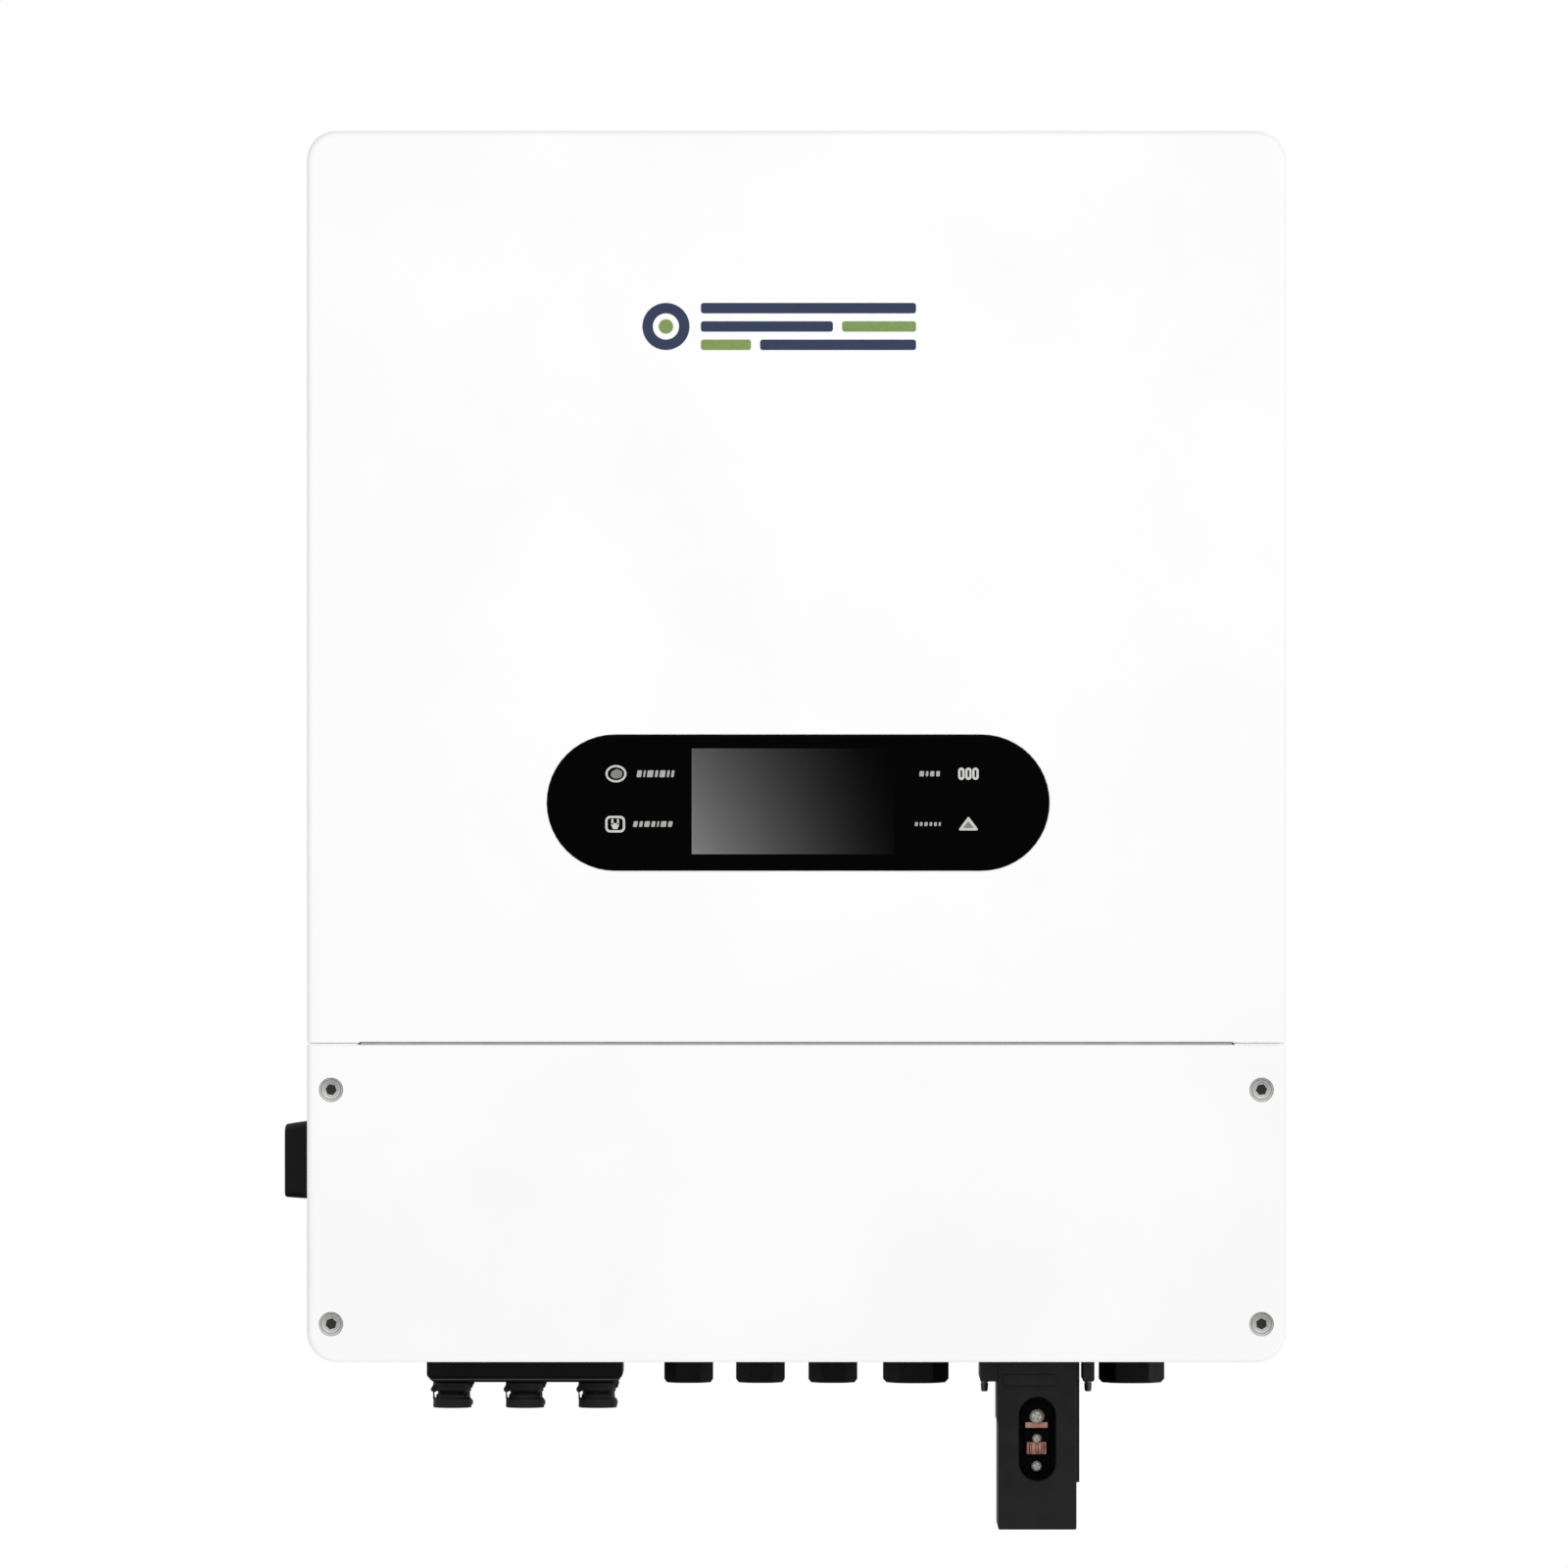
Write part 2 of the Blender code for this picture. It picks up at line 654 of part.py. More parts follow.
# ---- Display ------------------------------------------------------------------------
def make_display():
    width, height = DISPLAY_SIZE
    z = z_at(DISPLAY_H)
    window_y = FRONT_Y - 0.2 * MM + DISPLAY_THICKNESS / 2
    outline_part(
        "display_window", "upper_cover", "gloss_black", (DISPLAY_X, window_y, z), [stadium(width, height)],
        DISPLAY_THICKNESS, FRONT_TURN,
    )
    frame_front = FRONT_Y + COVER_WALL + GAP
    frame = [stadium(width + 16 * MM, height + 16 * MM), stadium(width - 6 * MM, height - 6 * MM)]
    outline_part(
        "display_frame", "upper_cover", "black_plastic", (DISPLAY_X, frame_front + 1.5 * MM, z), frame,
        3 * MM, FRONT_TURN,
    )
    part(
        "lcd_module", "upper_cover", "screen_glass", (LCD_X, frame_front + 3 * MM, z),
        block((96 * MM, 5 * MM, 52 * MM)),
    )
    board_front = frame_front + 6 * MM
    lamps = [
        rod((x, board_front + 0.5 * MM, z + dz), (x, frame_front + 1 * MM, z + dz), 2 * MM, sides=8)
        for x in (-79.4 * MM, 75.5 * MM)
        for dz in (-9.3 * MM, 13 * MM)
    ]
    sockets = [
        block((24 * MM, 6 * MM, 8 * MM), (x, board_front + 3.5 * MM, z)) for x in (-70 * MM, 70 * MM)
    ]
    board = part(
        "display_board", "upper_cover", "board_green", (0, board_front + BOARD_THICKNESS / 2, z),
        block((212 * MM, BOARD_THICKNESS, 54 * MM), along="Y", radius=6 * MM),
    )
    join_shapes(board, "display_lamps", *lamps, *sockets)


# ---- Power electronics in the upper compartment --------------------------------------
def make_inductor(name, x):
    """A potted aluminium can on the heat sink with three coil domes."""
    depth = 60 * MM
    at = (x, CHASSIS_REAR - depth / 2, z_at(217 * MM))
    can = part(name, "case", "aluminium", at, block((158 * MM, depth, 94 * MM), along="Y", radius=6 * MM))
    front = at[1] - depth / 2
    domes = [
        rod((x + dx, front + 1 * MM, at[2]), (x + dx, front - 5 * MM, at[2]), 21 * MM, 18 * MM)
        for dx in (-50 * MM, 0, 50 * MM)
    ]
    join_shapes(can, name + "_domes", *domes)


def make_power_module():
    """The transistor module, flat on the heat sink under the power board."""
    at = (0, CHASSIS_REAR - 8 * MM, z_at(365 * MM))
    module = part("power_module", "case", "black_plastic", at, block((150 * MM, 16 * MM, 70 * MM)))
    pins = [
        rod((x * MM, at[1] - 7 * MM, at[2] + dz), (x * MM, at[1] - 12 * MM, at[2] + dz), 2 * MM, sides=6)
        for x in range(-60, 61, 30)
        for dz in (-28 * MM, 28 * MM)
    ]
    join_shapes(module, "power_module_pins", *pins)


def make_power_board():
    """The main board on its four posts, with the driver parts soldered to it."""
    at = (0, POWER_BOARD_Y + BOARD_THICKNESS / 2, z_at(392 * MM))
    board = part("power_board", "case", "board_green", at, block((386 * MM, BOARD_THICKNESS, 236 * MM)))
    soldered = [
        block((14 * MM, 12 * MM, 22 * MM), (x * MM, POWER_BOARD_Y - 5 * MM, z_at(292 * MM)))
        for x in range(-170, 171, 34)
    ]
    join_shapes(board, "power_board_parts", *soldered)


def make_capacitors():
    """Eight link capacitors standing on one holder."""
    foot = POWER_BOARD_Y - GAP
    at = (-95 * MM, foot - 1.5 * MM, z_at(350 * MM))
    bank = part(
        "dc_link_capacitors", "case", "capacitor_sleeve", at, block((140 * MM, 3 * MM, 70 * MM))
    )
    cans = [
        rod_back(at[0] + dx * MM, at[2] + dz * MM, foot - 48 * MM, foot - 2 * MM, 15 * MM, sides=12)
        for dx in (-51, -17, 17, 51)
        for dz in (-17, 17)
    ]
    join_shapes(bank, "capacitor_cans", *cans)


def make_relays():
    """Six grid relays on one base."""
    foot = POWER_BOARD_Y - GAP
    at = (80 * MM, foot - 1.5 * MM, z_at(350 * MM))
    bank = part("relay_bank", "case", "black_plastic", at, block((124 * MM, 3 * MM, 66 * MM)))
    cases = [
        block((32 * MM, 22 * MM, 28 * MM), (at[0] + dx * MM, foot - 12 * MM, at[2] + dz * MM))
        for dx in (-40, 0, 40)
        for dz in (-16, 16)
    ]
    join_shapes(bank, "relay_cases", *cases)


def make_control_board():
    """The logic board, on pillars in front of the power board."""
    front = -160 * MM
    at = (60 * MM, front + BOARD_THICKNESS / 2, z_at(450 * MM))
    board = part("control_board", "case", "board_green", at, block((200 * MM, BOARD_THICKNESS, 110 * MM)))
    pillars = [
        rod_back(at[0] + dx * MM, at[2] + dz * MM, front + 1 * MM, POWER_BOARD_Y - GAP, 3 * MM, sides=8)
        for dx in (-92, 92)
        for dz in (-48, 48)
    ]
    chips = [
        block((26 * MM, 3 * MM, 26 * MM), (at[0] - 30 * MM, front - 1 * MM, at[2])),
        block((16 * MM, 3 * MM, 20 * MM), (at[0] + 20 * MM, front - 1 * MM, at[2] + 12 * MM)),
        block((60 * MM, 8 * MM, 8 * MM), (at[0] + 40 * MM, front - 3.5 * MM, at[2] - 45 * MM)),
    ]
    join_shapes(board, "control_board_parts", *pillars, *chips)


def make_fan():
    """The fan that stirs the air in the sealed upper compartment."""
    x, y, z = -140 * MM, -124 * MM, z_at(465 * MM)
    bore = 27 * MM
    frame = part("fan_frame", "case", "black_plastic", (x, y, z), block((60 * MM, 16 * MM, 60 * MM)))
    cut(frame, "fan_bore", rod((x, y - 10 * MM, z), (x, y + 10 * MM, z), bore, sides=24))
    spider = [block((2 * bore + 2 * MM, 2 * MM, 5 * MM), (x, y + 7 * MM, z))]
    legs = [
        rod_back(x + dx * MM, z + dz * MM, y + 7 * MM, POWER_BOARD_Y - GAP, 3 * MM, sides=8)
        for dx in (-26, 26)
        for dz in (-26, 26)
    ]
    join_shapes(frame, "fan_frame_legs", *spider, *legs)
    join_shapes(frame, "fan_spider_arm", block((5 * MM, 2 * MM, 2 * bore + 2 * MM), (x, y + 7 * MM, z)))

    make_body("fan_rotor", (x, y, z), "case")
    rotor = part(
        "fan_rotor", "fan_rotor", "black_plastic", (x, y, z), rod((0, -7 * MM, 0), (0, 5 * MM, 0), 12 * MM)
    )
    mesh = bmesh.new()
    for number in range(7):
        spoke = (
            Matrix.Translation((x, y - 1 * MM, z))
            @ Matrix.Rotation(number * math.tau / 7, 4, "Y")
            @ Matrix.Translation((18 * MM, 0, 0))
            @ Matrix.Rotation(math.radians(40), 4, "X")
            @ Matrix.Diagonal((14 * MM, 1.2 * MM, 11 * MM, 1))
        )
        bmesh.ops.create_cube(mesh, size=1, matrix=spoke)
    data = bpy.data.meshes.new("fan_blades")
    mesh.to_mesh(data)
    mesh.free()
    join(rotor, put(bpy.data.objects.new("fan_blades", data), PARTS, None, (0, 0, 0)))


# ---- Wiring compartment -------------------------------------------------------------
def make_dc_switch():
    """The PV isolator inside the left wall, and the knob whose shaft turns it."""
    z = z_at(SWITCH_H)
    left = -CHASSIS_HALF + CHASSIS_WALL + GAP
    width = 46 * MM
    body = part(
        "dc_switch_body", "case", "black_plastic", (left + width / 2, SWITCH_Y, z),
        block((width, 50 * MM, 52 * MM), along="X", radius=3 * MM, segments=2),
    )
    bore = rod((left - 3 * MM, SWITCH_Y, z), (left + 22 * MM, SWITCH_Y, z), 4.6 * MM, sides=12)
    cut(body, "switch_bore", bore)
    wells = [
        rod_back(left + dx * MM, z + dz * MM, SWITCH_Y - 30 * MM, SWITCH_Y - 20 * MM, 3 * MM, sides=10)
        for dx in (10, 23, 36)
        for dz in (-19, 19)
    ]
    cut(body, "switch_screw_wells", *wells)

    outside = -CHASSIS_HALF - GAP
    make_body("dc_switch_knob", (outside, SWITCH_Y, z), "case")
    knob = part(
        "dc_switch_knob", "dc_switch_knob", "black_plastic", (outside, SWITCH_Y, z),
        rod((0, 0, 0), (-4 * MM, 0, 0), KNOB_RADIUS, KNOB_RADIUS - 0.6 * MM, sides=24),
        rod((-1 * MM, 0, 0), (20 * MM, 0, 0), 3.9 * MM, sides=12),
    )
    join(knob, knob_grip(outside, z))


def knob_grip(outside, z):
    """A grip bar, upright at rest, that narrows towards its outer face."""
    mesh = bmesh.new()
    reach = KNOB_REACH - GAP
    grip = ((reach - 2 * MM), 12 * MM, 2 * KNOB_RADIUS - 1 * MM)
    bmesh.ops.create_cube(mesh, size=1, matrix=Matrix.Diagonal((*grip, 1)))
    for vert in mesh.verts:
        if vert.co.x < 0:
            vert.co.y *= 0.75
            vert.co.z *= 0.94
    data = bpy.data.meshes.new("knob_grip")
    mesh.to_mesh(data)
    mesh.free()
    at = (outside - 2 * MM - grip[0] / 2, SWITCH_Y, z)
    return put(bpy.data.objects.new("knob_grip", data), PARTS, None, at)


def make_terminal_block(name, x):
    """A five-pole screw terminal block on the rear wall."""
    rear = CHASSIS_REAR - RIM_THICKNESS - GAP
    depth, height = 42 * MM, 30 * MM
    z = z_at(88 * MM)
    body = part(
        name, "case", "terminal_grey", (x, rear - depth / 2, z), block((66 * MM, depth, height))
    )
    front = rear - depth
    poles = [x + step * 12.5 * MM for step in range(-2, 3)]
    wells = [
        rod_back(px, z + 5 * MM, front - 2 * MM, front + 8 * MM, 3.6 * MM, sides=6) for px in poles
    ]
    entries = [
        rod_up(px, front + 12 * MM, z - height, z - 3 * MM, 4.2 * MM, sides=6) for px in poles
    ]
    cut(body, name + "_openings", *wells, *entries)


def make_earth_bar():
    rear = CHASSIS_REAR - RIM_THICKNESS - GAP
    at = (100 * MM, rear - 4 * MM, z_at(50 * MM))
    bar = part("earth_bar", "case", "brass", at, block((150 * MM, 8 * MM, 9 * MM)))
    heads = [
        rod((x * MM, at[1] - 3 * MM, at[2]), (x * MM, at[1] - 7 * MM, at[2]), 3.4 * MM, sides=8)
        for x in range(40, 161, 20)
    ]
    join_shapes(bar, "earth_bar_heads", *heads)


def make_com_board():
    """The communication board, with three jacks that face down towards the glands."""
    rear = CHASSIS_REAR - RIM_THICKNESS - GAP
    front = -100 * MM
    at = (-30 * MM, front + BOARD_THICKNESS / 2, z_at(85 * MM))
    board = part("com_board", "case", "board_green", at, block((110 * MM, BOARD_THICKNESS, 60 * MM)))
    posts = [
        rod_back(at[0] + dx * MM, at[2] + dz * MM, front + 1 * MM, rear, 3 * MM, sides=8)
        for dx in (-48, 48)
        for dz in (-24, 24)
    ]
    jacks = [
        block((16 * MM, 14 * MM, 18 * MM), (at[0] + dx * MM, front - 6.5 * MM, at[2] - 18 * MM))
        for dx in (-34, -12, 10)
    ]
    strip = block((84 * MM, 10 * MM, 9 * MM), (at[0], front - 4.5 * MM, at[2] + 16 * MM))
    join_shapes(board, "com_board_parts", *posts, *jacks, strip)


# ---- Entries under the chassis -------------------------------------------------------
def make_gland(name, x, gland):
    """A sealed cable gland in the floor and the hexagonal nut that turns on it."""
    y = ENTRY_Y
    flange_top = z_at(CHASSIS_BOTTOM_H) - GAP
    flange_low = flange_top - 4.5 * MM
    nut_end = z_at(GLAND_END_H)
    thread, cable, corner = gland["thread"], gland["cable"], gland["corner"]
    body = part(
        name, "case", "black_plastic", (x, y, flange_top),
        rod((0, 0, 0), (0, 0, -4.5 * MM), corner, sides=6, turn=math.pi / 6),
        rod((0, 0, -4 * MM), (0, 0, nut_end + 5 * MM - flange_top), thread),
    )
    floor_top = z_at(CHASSIS_BOTTOM_H + CHASSIS_WALL)
    join_shapes(body, name + "_thread", rod((x, y, flange_top - 1 * MM), (x, y, floor_top + 9 * MM), thread))
    join_shapes(
        body, name + "_locknut",
        rod((x, y, floor_top + GAP), (x, y, floor_top + 5 * MM), corner, sides=6, turn=math.pi / 6),
    )
    seal = rod_up(x, y, nut_end + 0.4 * MM, nut_end + 6 * MM, cable, sides=12)
    join_shapes(body, name + "_seal", seal)

    nut_top = flange_low - 2 * MM
    nut_name = name + "_nut"
    make_body(nut_name, (x, y, nut_top), "case")
    length = nut_top - nut_end
    nut = part(
        nut_name, nut_name, "black_plastic", (x, y, nut_top),
        rod((0, 0, 0), (0, 0, -length), corner, sides=6, turn=math.pi / 6),
    )
    bore = rod_up(x, y, nut_end + 4 * MM, nut_top + 3 * MM, thread + 0.6 * MM)
    cut(nut, nut_name + "_thread", bore)
    mouth = rod_up(x, y, nut_end - 3 * MM, nut_end + 6 * MM, cable + 0.6 * MM, sides=12)
    cut(nut, nut_name + "_mouth", mouth)


def pv_places():
    return [
        (PV_BLOCK_X + column * PV_PITCH, ENTRY_Y + row * PV_ROW_PITCH / 2)
        for row in (-1, 1)
        for column in (-1, 0, 1)
    ]


def make_pv_connectors():
    """The carrier under the floor and the six waisted connectors that pass through it."""
    top = z_at(CHASSIS_BOTTOM_H) - GAP
    low = z_at(PV_BLOCK_END_H)
    width, depth = PV_BLOCK
    carrier = part(
        "pv_connector_block", "case", "black_plastic", (PV_BLOCK_X, ENTRY_Y, (top + low) / 2),
        pv_block_shape(width, depth, top - low),
    )
    bores = [rod_up(x, y, low - 3 * MM, top + 3 * MM, PV_STEM + 0.4 * MM) for x, y in pv_places()]
    cut(carrier, "pv_block_bores", *bores)
    for number, (x, y) in enumerate(pv_places(), start=1):
        name = f"pv_connector_{number}"
        data = pv_connector_mesh(name, low - GAP, z_at(PV_END_H), top + 16 * MM)
        connector = put(bpy.data.objects.new(name, data), PARTS, "black_plastic", (x, y, low))
        attach(connector, "case")
        spin = connector.modifiers.new("turned", "SCREW")
        spin.steps = 14
        spin.render_steps = 14
        spin.use_merge_vertices = True
        spin.merge_threshold = 0.01 * MM


def pv_block_shape(width, depth, height):
    """A box whose long lower edges are chamfered."""

    def add(mesh):
        made = bmesh.ops.create_cube(mesh, size=1, matrix=Matrix.Diagonal((width, depth, height, 1)))
        low = {
            edge
            for vert in made["verts"]
            for edge in vert.link_edges
            if all(v.co.z < 0 for v in edge.verts)
        }
        bmesh.ops.bevel(mesh, geom=list(low), offset=2.4 * MM, segments=1, profile=0.5, affect="EDGES")

    return add


def pv_connector_mesh(name, shoulder, end, top):
    """Half section of a connector, from its contact hole round to the top of its stem."""
    middle = (shoulder + end) / 2
    waist = PV_NOSE - 2.8 * MM
    section = [
        (0, top),
        (PV_STEM, top),
        (PV_STEM, shoulder),
        (PV_NOSE, shoulder),
        (PV_NOSE, middle + 2.4 * MM),
        (waist, middle + 1.2 * MM),
        (waist, middle - 0.6 * MM),
        (PV_NOSE, middle - 2 * MM),
        (PV_NOSE, end),
        (2.4 * MM, end),
        (2.4 * MM, end + 8 * MM),
        (0, end + 8 * MM),
    ]
    origin = z_at(PV_BLOCK_END_H)
    data = bpy.data.meshes.new(name)
    edges = [(number, number + 1) for number in range(len(section) - 1)]
    data.from_pydata([(r, 0, z - origin) for r, z in section], edges, [])
    return data


def make_breather():
    at = (-68 * MM, -88 * MM, z_at(CHASSIS_BOTTOM_H) - GAP)
    part(
        "breather_valve", "case", "black_plastic", at,
        rod((0, 0, 0), (0, 0, -6 * MM), 6.5 * MM, 5.8 * MM),
        rod((0, 0, -1 * MM), (0, 0, 9 * MM), 4 * MM, sides=12),
    )


def make_earth_screw():
    """The hexagon screw for an outer earth lead, low on the right side."""
    at = (CHASSIS_HALF + GAP, -90 * MM, z_at(30 * MM))
    part(
        "earth_screw", "case", "stainless", at,
        rod((0, 0, 0), (1.2 * MM, 0, 0), 5.4 * MM),
        rod((0.6 * MM, 0, 0), (4.6 * MM, 0, 0), 4.4 * MM, sides=6),
        rod((0.6 * MM, 0, 0), (-12 * MM, 0, 0), 2.5 * MM, sides=12),
    )


# ---- Battery terminal box -----------------------------------------------------------
def make_battery_box():
    """The open-topped box under the floor, with a sight window in its front."""
    top = z_at(CHASSIS_BOTTOM_H) - GAP
    end = z_at(BATTERY_END_H)
    collar_end = z_at(COLLAR_END_H)
    middle_y = BATTERY_FRONT_Y + BATTERY_DEPTH / 2
    make_body("battery_box", (BATTERY_X, middle_y, top), "case")
    size, centre = between(
        (BATTERY_X - BATTERY_WIDTH / 2, BATTERY_FRONT_Y, end),
        (BATTERY_X + BATTERY_WIDTH / 2, BATTERY_FRONT_Y + BATTERY_DEPTH, top),
    )
    box = part(
        "battery_box", "battery_box", "black_plastic", centre,
        block(size, along="Z", radius=1.5 * MM, segments=2),
    )
    rear = BATTERY_FRONT_Y + BATTERY_DEPTH
    left, right = COLLAR_SIDES
    collar = between(
        (left, BATTERY_FRONT_Y + 1 * MM, collar_end),
        (right, rear - 1 * MM, top),
    )
    join_shapes(box, "battery_collar", block(*collar))
    ridge_at = (BATTERY_X - 3.5 * MM, BATTERY_FRONT_Y + 0.8 * MM, z_at(-10.6 * MM))
    join_shapes(box, "battery_latch_ridge", block((23 * MM, 4 * MM, 5.1 * MM), ridge_at))
    inner_half = BATTERY_WIDTH / 2 - BATTERY_WALL
    room = between(
        (BATTERY_X - inner_half, BATTERY_FRONT_Y + BATTERY_WALL, end + 3 * MM),
        (BATTERY_X + inner_half, rear - BATTERY_WALL, top + 5 * MM),
    )
    cut(box, "battery_room", block(*room))
    slot_left, slot_right = COLLAR_SLOT
    slot = between(
        (slot_left, BATTERY_FRONT_Y - 3 * MM, collar_end - 3 * MM),
        (slot_right, rear + 3 * MM, z_at(1 * MM)),
    )
    cut(box, "battery_collar_slot", block(*slot))
    cable_holes = [
        rod_up(BATTERY_X, y, end - 3 * MM, end + 5 * MM, 8 * MM, sides=12) for y in cable_hole_rows()
    ]
    cut(box, "battery_cable_holes", *cable_holes)
    screw_holes = [
        rod_up(x, ENTRY_Y, collar_end - 3 * MM, top + 3 * MM, 1.6 * MM, sides=12)
        for x in BATTERY_BOX_SCREWS_X.values()
    ]
    cut(box, "battery_screw_holes", *screw_holes)
    window = outline_part(
        "battery_window", None, None, (BATTERY_X, BATTERY_FRONT_Y, z_at(WINDOW_H)),
        [[(y, x) for x, y in reversed(stadium(WINDOW[1], WINDOW[0], steps=8))]], 8 * MM, FRONT_TURN,
    )
    use_boolean(box, window, "DIFFERENCE")
    make_battery_grommet(end)
    make_battery_screws(collar_end)


def cable_hole_rows():
    middle = BATTERY_FRONT_Y + BATTERY_DEPTH / 2
    return (middle - 12 * MM, middle + 12 * MM)


def make_battery_grommet(end):
    """A rubber sheet on the box's floor with a closed membrane down each cable hole."""
    middle = BATTERY_FRONT_Y + BATTERY_DEPTH / 2
    at = (BATTERY_X, middle, end + 3 * MM + GAP + 1 * MM)
    sheet = part(
        "battery_grommet", "battery_box", "black_rubber", at, block((26 * MM, 48 * MM, 2 * MM))
    )
    plugs = [
        rod((BATTERY_X, y, at[2]), (BATTERY_X, y, end + 0.2 * MM), 7.6 * MM, 6.6 * MM, sides=12)
        for y in cable_hole_rows()
    ]
    join_shapes(sheet, "grommet_plugs", *plugs)


def make_battery_screws(collar_end):
    for side, x in BATTERY_BOX_SCREWS_X.items():
        name = "battery_box_screw_" + side
        at = (x, ENTRY_Y, collar_end - GAP)
        make_body(name, at, "battery_box")
        part(
            name, name, "stainless", at,
            rod((0, 0, 0), (0, 0, -5.2 * MM), 1.8 * MM, 1.5 * MM, sides=12),
            rod((0, 0, -1 * MM), (0, 0, 28 * MM), 1.3 * MM, sides=8),
        )


def battery_bar(name, width, shelf_h, pad_below, pad_above, riser_front):
    """A bent copper bar: a pad in front of the carrier, a shelf through it, a riser behind."""
    sheet = 1.5 * MM
    pad_front = CARRIER_FRONT_Y - GAP - sheet
    pad_back = pad_front + sheet
    shelf_low = z_at(shelf_h)
    shelf_high = shelf_low + sheet
    top = z_at(44 * MM)
    outline = [(pad_front, shelf_low - pad_below), (pad_front, shelf_high + pad_above)]
    if pad_above:
        outline += [(pad_back, shelf_high + pad_above), (pad_back, shelf_high)]
    outline += [(riser_front, shelf_high), (riser_front, top)]
    outline += [(riser_front + sheet, top), (riser_front + sheet, shelf_low)]
    if pad_below:
        outline += [(pad_back, shelf_low), (pad_back, shelf_low - pad_below)]
    return outline_part(name, "case", "copper", (BATTERY_X, 0, 0), [outline], width, SIDE_TURN)


def make_battery_terminals():
    """The carrier that hangs into the box, its two copper bars and its three screws."""
    floor_top = z_at(CHASSIS_BOTTOM_H + CHASSIS_WALL)
    depth = 14 * MM
    size, centre = between(
        (BATTERY_X - 10 * MM, CARRIER_FRONT_Y, z_at(-60 * MM)),
        (BATTERY_X + 10 * MM, CARRIER_FRONT_Y + depth, z_at(36 * MM)),
    )
    carrier = part("battery_terminal_carrier", "case", "black_plastic", centre, block(size))
    flange = between(
        (BATTERY_X - 18 * MM, CARRIER_FRONT_Y - 9 * MM, floor_top + GAP),
        (BATTERY_X + 18 * MM, CARRIER_FRONT_Y + depth - 1 * MM, floor_top + 4 * MM),
    )
    join_shapes(carrier, "carrier_flange", block(*flange))
    slots = [
        block((12 * MM, 20 * MM, 2.2 * MM), (BATTERY_X, CARRIER_FRONT_Y + depth / 2, z_at(h) + 0.75 * MM))
        for h in (POSITIVE_SHELF_H, NEGATIVE_SHELF_H)
    ]
    cut(carrier, "carrier_slots", *slots)
    holes = [
        rod((BATTERY_X, CARRIER_FRONT_Y - 3 * MM, z_at(h)), (BATTERY_X, CARRIER_FRONT_Y + 10 * MM, z_at(h)),
            1.8 * MM, sides=10)
        for h in BATTERY_SCREWS.values()
    ]
    cut(carrier, "carrier_screw_holes", *holes)

    pad_front = CARRIER_FRONT_Y - GAP - 1.5 * MM
    behind = CARRIER_FRONT_Y + depth
    bars = {
        "positive": battery_bar(
            "battery_positive_bar", 9.8 * MM, POSITIVE_SHELF_H, 10.8 * MM, 0, behind + 0.8 * MM
        ),
        "negative": battery_bar(
            "battery_negative_bar", 8.6 * MM, NEGATIVE_SHELF_H, 0, 9 * MM, behind + 5 * MM
        ),
    }
    for pole, bar in bars.items():
        z = z_at(BATTERY_SCREWS[pole])
        hole = rod_back(BATTERY_X, z, pad_front - 3 * MM, pad_front + 3 * MM, 1.8 * MM, sides=10)
        cut(bar, f"{pole}_bar_hole", hole)
    for pole, h in BATTERY_SCREWS.items():
        head = BATTERY_SCREW_HEADS[pole]
        seat = pad_front - GAP if pole in bars else CARRIER_FRONT_Y - GAP
        part(
            f"battery_{pole}_screw", "case", "stainless", (BATTERY_X, seat, z_at(h)),
            rod((0, 0, 0), (0, -2.6 * MM, 0), head, 0.8 * head),
            rod((0, -0.5 * MM, 0), (0, CARRIER_FRONT_Y + 8 * MM - seat, 0), 1.5 * MM, sides=10),
        )


def main():
    make_body("wall")
    make_body("case", (0, 0, 0), "wall")
    make_body("upper_cover", (0, FRONT_Y, z_at(340 * MM)), "case")
    make_body("lower_cover", (0, FRONT_Y, z_at(70 * MM)), "case")
    make_wall_bracket()
    make_hanger_rail()
    make_heat_sink()
    make_chassis()
    make_upper_cover()
    make_lower_cover()
    make_gasket("upper_gasket", "upper_cover", 144 * MM, 522 * MM)
    make_gasket("lower_gasket", "lower_cover", 14 * MM, 136.5 * MM)
    make_cover_screws()
    make_display()
    make_inductor("boost_inductor", -89 * MM)
    make_inductor("filter_inductor", 89 * MM)
    make_power_module()
    make_power_board()
    make_capacitors()
    make_relays()
    make_control_board()
    make_fan()
    make_dc_switch()
    make_terminal_block("grid_terminal_block", 60 * MM)
    make_terminal_block("load_terminal_block", 150 * MM)
    make_earth_bar()
    make_com_board()
    for number, x in enumerate(COM_GLAND_X, start=1):
        make_gland(f"com_gland_{number}", x, COM_GLAND)
    make_gland("grid_gland", GRID_GLAND_X, AC_GLAND)
    make_gland("load_gland", LOAD_GLAND_X, AC_GLAND)
    make_pv_connectors()
    make_breather()
    make_earth_screw()
    make_battery_box()
    make_battery_terminals()


main()
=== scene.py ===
"""Looks of the wall-hung hybrid string inverter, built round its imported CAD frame.

Meshes are built in millimetres in the row frame and scaled to metres when they become
objects. A height h is measured up from the lower edge of the covers. The functions that
add to a mesh return that mesh.
"""

import math
import random

import bmesh
import bpy
from mathutils import Matrix, Vector


